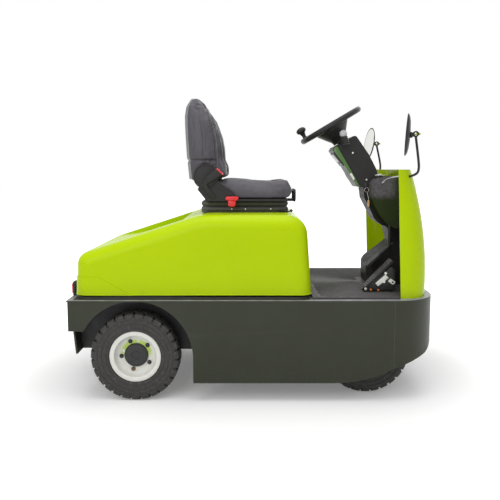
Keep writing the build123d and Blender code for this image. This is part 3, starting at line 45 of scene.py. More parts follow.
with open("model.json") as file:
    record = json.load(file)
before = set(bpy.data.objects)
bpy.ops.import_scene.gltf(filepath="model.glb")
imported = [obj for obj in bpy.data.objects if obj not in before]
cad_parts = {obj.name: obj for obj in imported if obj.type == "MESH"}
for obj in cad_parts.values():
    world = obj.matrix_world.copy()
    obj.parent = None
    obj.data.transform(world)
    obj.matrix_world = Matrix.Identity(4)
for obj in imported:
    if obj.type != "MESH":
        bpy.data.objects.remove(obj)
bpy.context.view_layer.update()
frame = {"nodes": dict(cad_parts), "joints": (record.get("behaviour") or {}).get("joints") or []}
JOINTS = {joint["name"]: joint for joint in frame["joints"]}

# Sides of the vehicle: +Y is the driver's left
SIDES = {"right": -1, "left": 1}
UP = Vector((0, 0, 1))
FORWARD = Vector((1, 0, 0))
LEFT = Vector((0, 1, 0))
MM = 0.001
# Faces that meet at more than this angle keep a crisp edge
CRISP = math.radians(38)


def colour(description, default):
    """Colour property with its default."""
    return FloatVectorProperty(
        name=description, description=description, subtype="COLOR", size=3, min=0, max=1, default=default
    )


def length(name, description, default):
    """Length property in metres with its default."""
    return FloatProperty(name=name, description=description, unit="LENGTH", default=default)


class TugColours(bpy.types.PropertyGroup):
    """Colours of the tug's finishes."""

    lime: colour("Body panel paint", (0.46, 0.63, 0.0))
    skirt: colour("Skirt and bumper paint", (0.023, 0.026, 0.015))
    # The flange's pale top is a painted reflection of the sky, not scuffing
    flange: colour("Scuffed top of the skirt's flange", (0.32, 0.32, 0.34))
    chassis: colour("Frame and axle paint", (0.016, 0.016, 0.017))
    plastic: colour("Moulded plastic of column and seat", (0.018, 0.017, 0.017))
    dash: colour("Moulded plastic of the dash", (0.026, 0.034, 0.014))
    vinyl: colour("Seat cover", (0.060, 0.056, 0.066))
    rubber: colour("Tyre rubber", (0.025, 0.024, 0.023))
    mat: colour("Floor mat", (0.044, 0.041, 0.043))
    rim: colour("Wheel paint", (0.76, 0.76, 0.71))
    red: colour("Red knob, buckle button and lens", (0.80, 0.008, 0.018))


class TugSeat(bpy.types.PropertyGroup):
    """Upholstery of the driver's seat."""

    voxel: length("Cloth grid", "Grid of the cushions before they are filled", 0.0055)
    cushion_rise: length("Cushion rise", "Most that the filling moves the cushion's cover", 0.014)
    back_rise: length("Backrest rise", "Most that the filling moves the backrest's cover", 0.010)
    pressure: FloatProperty(name="Pressure", description="Pressure of the filling", default=4.0)
    seam_depth: length("Seam depth", "How deep the sewn seams pull in", 0.0045)
    stitch: length("Stitch pitch", "Distance from one stitch to the next", 0.007)


class TugMat(bpy.types.PropertyGroup):
    """Ribs of the rubber floor mat."""

    pitch: length("Rib pitch", "Distance from one rib to the next", 0.0150)
    width: length("Rib width", "Width of a rib at its foot", 0.0085)
    height: length("Rib height", "Height of a rib above the mat", 0.0024)
    ring_x: length("Ring centre", "Where the curved ribs are centred, along the vehicle", 0.600)
    first: length("First rib", "Radius of the innermost rib", 0.045)


class TugWheels(bpy.types.PropertyGroup):
    """Bolts of the wheels."""

    bolts: IntProperty(name="Bolts", description="Bolts of each wheel", default=5, min=3)
    circle: length("Bolt circle", "Diameter of the circle of bolts", 0.140)
    phase: FloatProperty(
        name="First bolt", description="Angle of the first bolt", subtype="ANGLE", default=math.radians(41)
    )
    across: length("Bolt size", "Across the flats of a bolt's head", 0.015)


class TugStage(bpy.types.PropertyGroup):
    """Camera, floor and lamps."""

    camera_x: length("Camera X", "Camera's place along the vehicle", 0.018)
    camera_y: length("Camera Y", "Camera's place to the side of the vehicle", -3.337)
    camera_z: length("Camera height", "Height of the camera", 1.069)
    tilt: FloatProperty(
        name="Tilt", description="Camera's tilt below level", subtype="ANGLE", default=math.radians(7.15)
    )
    lens: FloatProperty(name="Lens", description="Focal length in millimetres", default=46.08)
    floor: length("Floor", "Width of the pale floor", 60.0)
    ambient: FloatProperty(name="Ambient", description="Level of the light from all round", default=0.55)


def settings(group):
    """One of the tug's property groups on the scene."""
    return getattr(bpy.context.scene, group)


def add_node(tree, kind, options=None, inputs=None):
    """A node with its options and inputs set; an input may be a value or another node's socket."""
    made = tree.nodes.new(kind)
    for key, value in (options or {}).items():
        setattr(made, key, value)
    for key, value in (inputs or {}).items():
        if isinstance(value, bpy.types.NodeSocket):
            tree.links.new(value, made.inputs[key])
        else:
            made.inputs[key].default_value = value
    return made


class Finish:
    """Node graph of one finish, in the vehicle's own space."""

    def __init__(self, name, base, roughness, **sockets):
        self.material = bpy.data.materials.new(name)
        self.material.use_nodes = True
        self.tree = self.material.node_tree
        self.surface = self.tree.nodes["Principled BSDF"]
        self.surface.inputs["Base Color"].default_value = (*base, 1)
        self.surface.inputs["Roughness"].default_value = roughness
        self.surface.inputs["Specular IOR Level"].default_value = sockets.pop("specular", 0.4)
        for socket, value in sockets.items():
            self.surface.inputs[socket.replace("_", " ").title()].default_value = value
        self.place = self.node("ShaderNodeTexCoord").outputs["Object"]
        self.base = (*base, 1)
        self.normal = None

    def node(self, kind, options=None, inputs=None):
        """A node of this finish."""
        return add_node(self.tree, kind, options, inputs)

    def noise(self, size, detail=4.0, stretch=(1, 1, 1)):
        """Blotches about size metres across, drawn out along the axes by stretch."""
        place = self.node("ShaderNodeMapping", None, {"Vector": self.place, "Scale": stretch}).outputs[0]
        inputs = {"Vector": place, "Scale": 1 / size, "Detail": detail}
        return self.node("ShaderNodeTexNoise", None, inputs).outputs[0]

    def cells(self, size, feature="F1"):
        """Cells about size metres across, as in leather grain."""
        inputs = {"Vector": self.place, "Scale": 1 / size}
        return self.node("ShaderNodeTexVoronoi", {"feature": feature}, inputs).outputs["Distance"]

    def axis(self, index):
        """Coordinate along X, Y or Z."""
        return self.node("ShaderNodeSeparateXYZ", None, {0: self.place}).outputs[index]

    def spread(self, value, start, end, low=0.0, high=1.0):
        """Value taken from the range start..end to low..high, smooth and clamped."""
        inputs = {"Value": value, "From Min": start, "From Max": end, "To Min": low, "To Max": high}
        return self.node("ShaderNodeMapRange", {"interpolation_type": "SMOOTHSTEP"}, inputs).outputs[0]

    def blotches(self, size, detail, start, end, low=0.0, high=1.0):
        """Noise with its range start..end drawn out to low..high."""
        return self.spread(self.noise(size, detail), start, end, low, high)

    def beyond(self, index, start, end):
        """Mask that grows along X, Y or Z from start to end."""
        return self.spread(self.axis(index), start, end)

    def both(self, first, second, operation="MULTIPLY"):
        """Two masks put together."""
        return self.node("ShaderNodeMath", {"operation": operation}, {0: first, 1: second}).outputs[0]

    def edges(self, radius):
        """Mask of the outer and inner edges within radius."""
        rounded = self.node("ShaderNodeBevel", {"samples": 6}, {"Radius": radius}).outputs[0]
        plain = self.node("ShaderNodeNewGeometry").outputs["Normal"]
        inputs = {0: rounded, 1: plain}
        likeness = self.node("ShaderNodeVectorMath", {"operation": "DOT_PRODUCT"}, inputs).outputs["Value"]
        return self.spread(likeness, 0.995, 0.86)

    def worn(self, radius, most):
        """Mask of the edges within radius, nowhere above most."""
        return self.spread(self.edges(radius), 0, 1, 0, most)

    def around(self, x, z, inner, outer):
        """Mask that fades out from one distance of an axle to another."""
        inputs = {0: self.axis(0), 1: 0.0, 2: self.axis(2)}
        flat = self.node("ShaderNodeCombineXYZ", None, inputs).outputs[0]
        inputs = {0: flat, 1: (x, 0, z)}
        far = self.node("ShaderNodeVectorMath", {"operation": "DISTANCE"}, inputs).outputs["Value"]
        return self.spread(far, outer, inner)

    def tint(self, mask, other):
        """Lay another colour over the base where the mask is 1."""
        inputs = {0: mask, 6: self.base, 7: (*other, 1)}
        self.base = self.node("ShaderNodeMix", {"data_type": "RGBA"}, inputs).outputs[2]
        self.tree.links.new(self.base, self.surface.inputs["Base Color"])
        return self

    def gloss(self, mask, low, high):
        """Roughness from low to high by the mask."""
        self.tree.links.new(self.spread(mask, 0, 1, low, high), self.surface.inputs["Roughness"])
        return self

    def relief(self, height, distance, strength=1.0):
        """Fine relief, laid over what is there."""
        inputs = {"Height": height, "Distance": distance, "Strength": strength}
        if self.normal is not None:
            inputs["Normal"] = self.normal
        self.normal = self.node("ShaderNodeBump", None, inputs).outputs[0]
        self.tree.links.new(self.normal, self.surface.inputs["Normal"])
        return self


def shade(base, factor):
    """A colour made lighter or darker."""
    return tuple(min(1.0, channel * factor) for channel in base)


# Where the masks of the finishes start and end, in metres: the dust on the lime panels,
# the top of the skirt's flange, painted pale as a reflection of the sky, with its open side and ends,
# the wrinkled cover on the dash, and the lime overspray round the rear hubs
LIME_DUST_Z = (0.60, 0.48)
FLANGE_TOP = (0.4765, 0.4779)
FLANGE_SIDE = (0.458, 0.466)
FLANGE_REAR = (-0.79, -0.80)
FLANGE_FRONT = (0.30, 0.32)
DASH_COVER_Z = (0.915, 0.955)
DASH_COVER_X = (0.750, 0.705)
SPRAY_RADII = (0.066, 0.082)


def lime_paint():
    """Sprayed gloss lime with a little orange peel, dust low down and rubbed edges."""
    base = tuple(settings("tug_colours").lime)
    paint = Finish("lime_paint", base, 0.28, specular=0.08, coat_weight=0.05, coat_roughness=0.06)
    paint.tint(paint.noise(0.35, 3), shade(base, 0.93))
    dust = paint.both(paint.noise(0.05, 6), paint.beyond(2, *LIME_DUST_Z))
    paint.tint(paint.spread(dust, 0.35, 0.9, 0, 0.35), (0.34, 0.40, 0.03))
    paint.tint(paint.both(paint.edges(0.003), paint.blotches(0.02, 5, 0.6, 0.8)), shade(base, 0.6))
    paint.gloss(paint.noise(0.08, 5), 0.20, 0.36)
    return paint.relief(paint.noise(0.0035, 2), 0.0004, 0.10).material


def skirt_paint():
    """Dark olive-grey structure paint with scuffs and dust low down, and the flange's top painted pale as a
    reflection of the sky.
    """
    colours = settings("tug_colours")
    base = tuple(colours.skirt)
    paint = Finish("skirt_paint", base, 0.45, specular=0.28)
    paint.tint(paint.blotches(0.30, 3, 0.3, 0.7, 0, 0.6), shade(base, 1.2))
    scuffs = paint.spread(paint.noise(0.006, 6, (0.06, 1, 1)), 0.68, 0.80)
    low = paint.beyond(2, 0.36, 0.08)
    paint.tint(paint.both(scuffs, paint.spread(low, 0, 1, 0.06, 0.35)), (0.09, 0.09, 0.075))
    dust = paint.both(paint.blotches(0.012, 7, 0.45, 0.8), low)
    paint.tint(paint.spread(dust, 0, 1, 0, 0.14), (0.10, 0.095, 0.07))
    paint.tint(paint.worn(0.0025, 0.45), (0.13, 0.13, 0.12))
    # Painted reflection of the sky: the flange's open top and its ends are made pale in patches
    side = paint.node("ShaderNodeMath", {"operation": "ABSOLUTE"}, {0: paint.axis(1)}).outputs[0]
    ends = paint.both(paint.beyond(0, *FLANGE_REAR), paint.beyond(0, *FLANGE_FRONT), "MAXIMUM")
    open_part = paint.both(paint.spread(side, *FLANGE_SIDE), ends, "MAXIMUM")
    top = paint.both(paint.beyond(2, *FLANGE_TOP), open_part)
    paint.tint(paint.both(top, paint.blotches(0.04, 6, 0.25, 0.75, 0.55, 1)), tuple(colours.flange))
    paint.gloss(paint.noise(0.05, 5), 0.38, 0.54)
    return paint.relief(paint.noise(0.0016, 3), 0.0004, 0.35).material


def painted_steel(name, base, roughness):
    """Painted or powder-coated steel with dust in its lee and bare metal on its corners."""
    paint = Finish(name, base, roughness)
    paint.tint(paint.noise(0.12, 5), shade(base, 1.5))
    paint.tint(paint.blotches(0.02, 8, 0.55, 0.80, 0, 0.4), (0.10, 0.085, 0.065))
    wear = paint.both(paint.edges(0.002), paint.blotches(0.008, 5, 0.5, 0.7))
    paint.tint(wear, (0.20, 0.19, 0.18))
    paint.gloss(paint.noise(0.03, 6), roughness - 0.08, roughness + 0.14)
    return paint.relief(paint.noise(0.0022, 4), 0.0005, 0.4).material


def bare_metal(name, base, stain):
    """Bright or lead-grey metal with rubbed streaks and stains."""
    metal = Finish(name, base, 0.32, metallic=1.0)
    metal.tint(metal.blotches(0.010, 6, 0.45, 0.8), stain)
    metal.gloss(metal.noise(0.004, 5, (1, 1, 0.1)), 0.22, 0.5)
    return metal.relief(metal.noise(0.0012, 3, (1, 1, 0.2)), 0.0002, 0.3).material


def moulded_plastic(name, base, grain=0.0011, specular=0.22):
    """Grained moulded plastic, paler with wear on its edges and dusty in its hollows."""
    plastic = Finish(name, base, 0.45, specular=specular)
    plastic.tint(plastic.noise(0.10, 4), shade(base, 1.35))
    plastic.tint(plastic.blotches(0.012, 7, 0.62, 0.84, 0, 0.3), (0.10, 0.09, 0.085))
    plastic.tint(plastic.worn(0.002, 0.45), shade(base, 3.5))
    plastic.gloss(plastic.noise(0.03, 5), 0.34, 0.54)
    return plastic.relief(plastic.cells(grain), 0.0004, 0.45).material


def dash_plastic():
    """Olive-black dash moulding under a wrinkled violet-grey cover at its upper rear."""
    base = tuple(settings("tug_colours").dash)
    cover = Finish("dash_plastic", base, 0.52, specular=0.0)
    cover.tint(cover.noise(0.06, 4), shade(base, 1.3))
    upper = cover.both(cover.beyond(2, *DASH_COVER_Z), cover.beyond(0, *DASH_COVER_X))
    folds = cover.blotches(0.016, 6, 0.36, 0.62, 0.6, 1)
    cover.tint(cover.both(upper, folds), (0.125, 0.112, 0.130))
    cover.tint(cover.worn(0.002, 0.4), shade(base, 3.0))
    cover.relief(cover.both(upper, cover.noise(0.013, 4)), 0.004, 0.9)
    return cover.relief(cover.cells(0.0011), 0.0004, 0.4).material


def seat_vinyl():
    """Leather-grained vinyl with a satin sheen and creases."""
    base = tuple(settings("tug_colours").vinyl)
    vinyl = Finish("seat_vinyl", base, 0.42, specular=0.32, sheen_weight=0.15, sheen_roughness=0.4)
    vinyl.tint(vinyl.noise(0.09, 4), shade(base, 1.3))
    vinyl.tint(vinyl.spread(vinyl.cells(0.0022, "DISTANCE_TO_EDGE"), 0.10, 0.0, 0, 0.5), shade(base, 0.55))
    vinyl.gloss(vinyl.noise(0.02, 5), 0.34, 0.52)
    vinyl.relief(vinyl.noise(0.030, 3, (1, 0.5, 1)), 0.0020, 0.30)
    return vinyl.relief(vinyl.cells(0.0022, "DISTANCE_TO_EDGE"), 0.0005, 0.45).material


def soft_rubber(name, base, dust, specular=0.4):
    """Matt rubber with a fine skin and dust."""
    rubber = Finish(name, base, 0.62, specular=specular)
    rubber.tint(rubber.noise(0.06, 6), shade(base, 1.6))
    rubber.tint(rubber.blotches(0.014, 8, 0.5, 0.8, 0, dust), (0.13, 0.12, 0.115))
    rubber.tint(rubber.worn(0.002, 0.4), shade(base, 2.6))
    rubber.gloss(rubber.noise(0.02, 5), 0.5, 0.78)
    return rubber.relief(rubber.noise(0.0018, 5), 0.0004, 0.5).material


def rim_paint():
    """Off-white wheel enamel with lime overspray round the rear hubs and dust in the dish."""
    colours = settings("tug_colours")
    base = tuple(colours.rim)
    paint = Finish("rim_paint", base, 0.34, coat_weight=0.2, coat_roughness=0.2)
    paint.tint(paint.noise(0.05, 5), shade(base, 0.90))
    paint.tint(paint.blotches(0.011, 8, 0.60, 0.80, 0, 0.5), (0.38, 0.35, 0.28))
    axle_x, _, axle_z = JOINTS["rear_wheel_right_spin"]["pos_m"]
    spray = paint.both(paint.around(axle_x, axle_z, *SPRAY_RADII), paint.blotches(0.03, 4, 0.30, 0.50))
    spray = paint.both(spray, paint.beyond(2, axle_z - 0.03, axle_z + 0.03))
    paint.tint(paint.spread(spray, 0, 1, 0, 0.92), (0.44, 0.62, 0.04))
    paint.tint(paint.both(paint.edges(0.002), paint.blotches(0.01, 4, 0.5, 0.7)), (0.12, 0.11, 0.09))
    paint.gloss(paint.noise(0.03, 5), 0.28, 0.46)
    return paint.relief(paint.noise(0.003, 4), 0.0004, 0.25).material


def clear_lens(name, base, roughness=0.08):
    """Tinted lens plastic with fine scratches and its own gloss."""
    lens = Finish(name, base, roughness, coat_weight=1.0, coat_roughness=0.05)
    lens.tint(lens.noise(0.02, 4), shade(base, 0.8))
    return lens.relief(lens.noise(0.0015, 3, (1, 0.1, 1)), 0.0001, 0.2).material


def mirror_glass():
    """Silvered glass with a little haze."""
    glass = Finish("mirror_glass", (0.80, 0.80, 0.76), 0.10, metallic=1.0)
    glass.tint(glass.blotches(0.03, 6, 0.50, 0.8, 0, 0.4), (0.66, 0.65, 0.58))
    glass.gloss(glass.noise(0.02, 6), 0.06, 0.20)
    return glass.relief(glass.noise(0.08, 1), 0.0003, 0.1).material


def bright_plastic(name, base):
    """Glossy coloured plastic of a knob or a button."""
    plastic = Finish(name, base, 0.3, coat_weight=0.3)
    plastic.tint(plastic.noise(0.01, 4), shade(base, 0.85))
    plastic.gloss(plastic.noise(0.004, 4), 0.22, 0.42)
    return plastic.relief(plastic.noise(0.001, 3), 0.0002, 0.3).material


FINISHES = {}


def mix_finishes():
    """Make every finish once."""
    colours = settings("tug_colours")
    chassis, rubber, red = tuple(colours.chassis), tuple(colours.rubber), tuple(colours.red)
    FINISHES.update(
        lime=lime_paint(),
        skirt=skirt_paint(),
        frame=painted_steel("frame_black", chassis, 0.45),
        cast=painted_steel("cast_black", shade(chassis, 1.25), 0.55),
        battery=painted_steel("battery_tray", (0.055, 0.058, 0.060), 0.5),
        zinc=bare_metal("zinc_steel", (0.60, 0.59, 0.55), (0.34, 0.31, 0.26)),
        rust=bare_metal("rusty_steel", (0.13, 0.10, 0.06), (0.16, 0.07, 0.03)),
        lead=bare_metal("lead_link", (0.32, 0.33, 0.34), (0.22, 0.22, 0.22)),
        plastic=moulded_plastic("moulded_plastic", tuple(colours.plastic)),
        column=moulded_plastic("column_plastic", shade(colours.plastic, 1.2), specular=0.04),
        dash=dash_plastic(),
        pale_plastic=moulded_plastic("pale_plastic", (0.42, 0.42, 0.44), 0.0008),
        cream_plastic=moulded_plastic("cream_plastic", (0.70, 0.70, 0.66), 0.0008),
        vinyl=seat_vinyl(),
        tyre=soft_rubber("tyre_rubber", rubber, 0.5),
        mat=soft_rubber("mat_rubber", tuple(colours.mat), 0.35),
        # Paler copy of the tyre rubber: the extra lightness is partly a painted highlight on the tops of the
        # bellows' rolls
        bellows=soft_rubber("bellows_rubber", shade(rubber, 1.4), 0.25, 0.8),
        rim=rim_paint(),
        lamp=clear_lens("lamp_glass", (0.72, 0.75, 0.78)),
        red_lens=clear_lens("red_lens", shade(red, 0.8), 0.15),
        mirror=mirror_glass(),
        red=bright_plastic("red_plastic", red),
        orange=bright_plastic("orange_plastic", (0.75, 0.22, 0.06)),
        tag=bright_plastic("key_tag", (0.72, 0.42, 0.17)),
        green=bright_plastic("panel_edge", (0.065, 0.17, 0.022)),
        screen=bright_plastic("dark_screen", (0.010, 0.014, 0.016)),
        # Pale thread of the stitches; the same colour also paints the highlight along the backrest's welt
        # seam
        thread=soft_rubber("seat_thread", (0.085, 0.082, 0.088), 0.1),
    )


# Finish of every node of the frame that stays in view
NODE_FINISHES = {
    "lime": ["hood", "front_shield"],
    "skirt": ["skirt_right", "skirt_left", "rear_bumper", "tail_plate"],
    "frame": ["frame", "platform", "hinge_bracket_right", "hinge_bracket_left"],
    "cast": ["drive_axle", "front_axle", "knuckle_right", "knuckle_left", "tie_rod", "tow_coupling"],
    "battery": ["battery"],
    "zinc": ["tow_pin"],
    "column": ["firewall", "pedestal"],
    "plastic": [
        "column_head",
        "accelerator_pedal",
        "brake_pedal",
        "seat_frame",
        "tail_lamp_right",
        "tail_lamp_left",
    ],
    "dash": ["dash_pod"],
    "bellows": ["hood_seal", "seat_base"],
    "mat": ["floor_mat"],
    "tyre": ["rear_tyre_right", "rear_tyre_left", "front_tyre_right", "front_tyre_left"],
    "lamp": ["headlamp_right", "headlamp_left"],
}


def facing(direction):
    """Turn that takes +Z to the direction, with +Y as near to upright as it can be."""
    return Vector(direction).to_track_quat("Z", "Y").to_matrix().to_4x4()


def skin(bm, rings, closed=False):
    """Faces between rings of points; a ring may be a single point."""
    pairs = list(zip(rings, rings[1:])) + ([(rings[-1], rings[0])] if closed else [])
    for lower, upper in pairs:
        count = max(len(lower), len(upper))
        for step in range(count):
            after = (step + 1) % count
            corners = [
                lower[step % len(lower)],
                lower[after % len(lower)],
                upper[after % len(upper)],
                upper[step % len(upper)],
            ]
            corners = list(dict.fromkeys(corners))
            if len(corners) > 2:
                bm.faces.new(corners)


def add_lathe(bm, base, direction, profile, sides=48, closed=False, stretch=(1, 1)):
    """Spin (radius, height) pairs about the direction from base; closed joins the last pair to the first."""
    turn = Matrix.Translation(base) @ facing(direction)
    rings = []
    for radius, height in profile:
        count = sides if radius > 1e-6 else 1
        angles = [2 * math.pi * (step + 0.5) / count for step in range(count)]
        wide, deep = radius * stretch[0], radius * stretch[1]
        points = [(wide * math.cos(a), deep * math.sin(a), height) for a in angles]
        rings.append([bm.verts.new(turn @ Vector(point)) for point in points])
    skin(bm, rings, closed)


def add_loft(bm, sections):
    """Skin over closed sections of like points, with a face at each end."""
    rings = [[bm.verts.new(point) for point in section] for section in sections]
    skin(bm, rings)
    bm.faces.new(list(reversed(rings[0])))
    bm.faces.new(rings[-1])


def add_block(bm, centre, size, bevel=0.0, turn=None):
    """Block with rounded edges."""
    place = Matrix.Translation(centre) @ (turn or Matrix.Identity(4)) @ Matrix.Diagonal((*size, 1))
    made = bmesh.ops.create_cube(bm, size=1, matrix=place)["verts"]
    if bevel:
        edges = list({edge for vert in made for edge in vert.link_edges})
        bmesh.ops.bevel(bm, geom=edges, offset=bevel, segments=3, profile=0.5, affect="EDGES")


def add_plate(bm, outline, low_y, high_y, bevel=0.0):
    """Plate with a side outline of (X, Z) points in millimetres, from one Y to the other in metres."""
    rows = [[bm.verts.new((x * MM, y, z * MM)) for x, z in outline] for y in (low_y, high_y)]
    faces = [bm.faces.new(rows[0]), bm.faces.new(list(reversed(rows[1])))]
    for step in range(len(outline)):
        after = (step + 1) % len(outline)
        faces.append(bm.faces.new((rows[0][step], rows[1][step], rows[1][after], rows[0][after])))
    if bevel:
        edges = list({edge for face in faces for edge in face.edges})
        bmesh.ops.bevel(bm, geom=edges, offset=bevel, segments=3, profile=0.5, affect="EDGES")


def add_tube(bm, points, radius, sides=12, closed=False):
    """Round bar along the points; radius may be one value for each point."""
    points = [Vector(point) for point in points]
    radii = radius if isinstance(radius, (list, tuple)) else [radius] * len(points)
    count = len(points)
    rings = []
    across = None
    for index, point in enumerate(points):
        before = points[index - 1] if index or closed else point
        after = points[(index + 1) % count] if index < count - 1 or closed else point
        along = (after - before).normalized()
        start = along.orthogonal() if across is None else across - along * across.dot(along)
        across = start.normalized()
        other = along.cross(across)
        angles = [2 * math.pi * step / sides for step in range(sides)]
        outward = [across * math.cos(a) + other * math.sin(a) for a in angles]
        rings.append([bm.verts.new(point + way * radii[index]) for way in outward])
    skin(bm, rings, closed)
    if not closed:
        bm.faces.new(list(reversed(rings[0])))
        bm.faces.new(rings[-1])


def add_ridge(bm, points, width, height, up=UP):
    """Low rounded rib along the points, standing on the surface below them."""
    profile = [(-0.5, -0.2), (-0.28, 0.8), (0.0, 1.0), (0.28, 0.8), (0.5, -0.2)]
    sections = []
    for index, point in enumerate(points):
        before, after = points[max(index - 1, 0)], points[min(index + 1, len(points) - 1)]
        side = (Vector(after) - Vector(before)).cross(up).normalized()
        sections.append([Vector(point) + side * width * s + up * height * h for s, h in profile])
    add_loft(bm, sections)


def add_bolt(bm, base, direction, across, height):
    """Hexagon head on a round washer, its top edge turned off."""
    washer = height * 0.22
    corner = across / math.sqrt(3)
    add_lathe(bm, base, direction, [(0, 0), (across * 0.70, 0), (across * 0.70, washer), (0, washer)], 24)
    head = [(corner, washer), (corner, height * 0.86), (corner * 0.84, height), (0, height)]
    add_lathe(bm, base, direction, head, 6)


def add_screw(bm, base, direction, radius):
    """Low domed screw head with a recess."""
    profile = [(1, -0.2), (1, 0.12), (0.8, 0.38), (0.4, 0.48), (0.3, 0.2), (0, 0.1)]
    add_lathe(bm, base, direction, [(r * radius, h * radius) for r, h in profile], 20)


def button(radius, shoulder, top, height):
    """Profile of a round button whose side narrows above its shoulder."""
    return [(0, 0), (radius, 0), (radius, shoulder), (top, height), (0, height)]


def ball(radius, turns):
    """Profile of a ball from its lowest point up, at the given turns in radians."""
    return [(0.0, 0.0)] + [(radius * math.sin(a), radius * (1 - math.cos(a))) for a in turns]


def span(sign, near, far):
    """The two Y values of a layer on one side of the vehicle, the lower one first."""
    return sorted((sign * near, sign * far))


def unbroken(points, kept, least):
    """Runs of neighbouring points that are kept, each of at least so many points."""
    runs = [[]]
    for point in points:
        if kept(point):
            runs[-1].append(point)
        else:
            runs.append([])
    return [run for run in runs if len(run) >= least]


def rounded(width, height, radius, steps=4):
    """Points of a rounded rectangle round the origin."""
    found = []
    for quarter, (sx, sy) in enumerate(((1, 1), (-1, 1), (-1, -1), (1, -1))):
        for step in range(steps + 1):
            angle = math.pi / 2 * (quarter + step / steps)
            x = sx * (width / 2 - radius) + radius * math.cos(angle)
            found.append((x, sy * (height / 2 - radius) + radius * math.sin(angle)))
    return found


def arc(centre, radius, start, end, steps, plane=(FORWARD, UP)):
    """Points of an arc in a plane given by its two axes, angles in degrees."""
    found = []
    for step in range(steps + 1):
        angle = math.radians(start + (end - start) * step / steps)
        found.append(Vector(centre) + (plane[0] * math.cos(angle) + plane[1] * math.sin(angle)) * radius)
    return found


def smooth_line(points, steps=6):
    """Smooth run through the points."""
    points = [Vector(point) for point in points]
    padded = [2 * points[0] - points[1], *points, 2 * points[-1] - points[-2]]
    run = []
    for a, b, c, d in zip(padded, padded[1:], padded[2:], padded[3:]):
        for step in range(steps):
            t = step / steps
            bend = (2 * a - 5 * b + 4 * c - d) * t**2 + (3 * b - a - 3 * c + d) * t**3
            run.append(0.5 * (2 * b + (c - a) * t + bend))
    return [*run, points[-1]]


def link_mesh(name, bm):
    """New object from the mesh under construction, shaded smooth with crisp edges."""
    bmesh.ops.recalc_face_normals(bm, faces=bm.faces)
    mesh = bpy.data.meshes.new(name)
    bm.to_mesh(mesh)
    bm.free()
    mesh.polygons.foreach_set("use_smooth", [True] * len(mesh.polygons))
    mesh.set_sharp_from_angle(angle=CRISP)
    piece = bpy.data.objects.new(name, mesh)
    bpy.context.scene.collection.objects.link(piece)
    return piece


def fit_out(piece, finish, body):
    """Give a piece its finish and let it ride on its body."""
    piece.data.materials.clear()
    piece.data.materials.append(FINISHES[finish])
    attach(piece, body)
    return piece


def make_piece(name, bm, finish, body):
    """Piece from the mesh under construction, finished and riding on its body."""
    return fit_out(link_mesh(name, bm), finish, body)


def ease(value, start, end):
    """0 before start, 1 after end and smooth between."""
    share = min(1.0, max(0.0, (value - start) / (end - start)))
    return share * share * (3 - 2 * share)


def between(value, table):
    """Value read off a table of (place, value) pairs by straight runs."""
    for (a, low), (b, high) in zip(table, table[1:]):
        if value <= b:
            return low + (high - low) * max(0.0, (value - a) / (b - a))
    return table[-1][1]


def surface_of(piece):
    """Search tree of a piece's surface."""
    graph = bpy.context.evaluated_depsgraph_get()
    return BVHTree.FromObject(piece, graph)


# Wheels

# Sections of (radius, distance inboard from the tyre's face)
RIM_SECTION = [
    (0.0560, 0.0530),
    (0.0560, 0.0462),
    (0.0600, 0.0466),
    (0.0760, 0.0468),
    (0.0850, 0.0448),
    (0.0915, 0.0395),
    (0.0950, 0.0310),
    (0.0968, 0.0220),
    (0.0975, 0.0140),
    (0.0990, 0.0105),
    (0.1025, 0.0092),
    (0.1165, 0.0092),
    (0.1192, 0.0100),
    (0.1200, 0.0120),
    (0.1196, 0.0140),
    (0.1020, 0.0140),
    (0.1020, 0.0960),
    (0.1196, 0.0960),
    (0.1200, 0.1000),
    (0.1160, 0.1010),
    (0.0970, 0.1010),
    (0.0970, 0.0530),
]
HUB_SECTION = [
    (0.0, 0.0325),
    (0.0130, 0.0325),
    (0.0145, 0.0342),
    (0.0200, 0.0342),
    (0.0220, 0.0315),
    (0.0450, 0.0310),
    (0.0510, 0.0328),
    (0.0548, 0.0362),
    (0.0560, 0.0410),
    (0.0560, 0.0530),
    (0.0880, 0.0530),
    (0.0880, 0.0630),
    (0.0640, 0.0630),
    (0.0640, 0.1050),
    (0.0630, 0.1060),
    (0.0246, 0.1060),
    (0.0246, 0.0640),
    (0.0, 0.0640),
]
RIM_FACE = 0.0466
WHEEL_SIDES = 72
BOLT_HEAD = 0.009
RUSTY_BOLT = 3
# Raised rings of the side wall: their radii and section.
# The side wall is sunk at its foot and level at its shoulder
TYRE_RINGS = (0.1330, 0.1540, 0.1740)
RING_SECTION = [(0, 0.002), (0.0010, -0.0024), (0.0036, -0.0024), (0.0050, 0.002)]
SIDE_WALL_SINK = 0.004
SIDE_WALL_FOOT, SIDE_WALL_SHOULDER = 0.125, 0.166


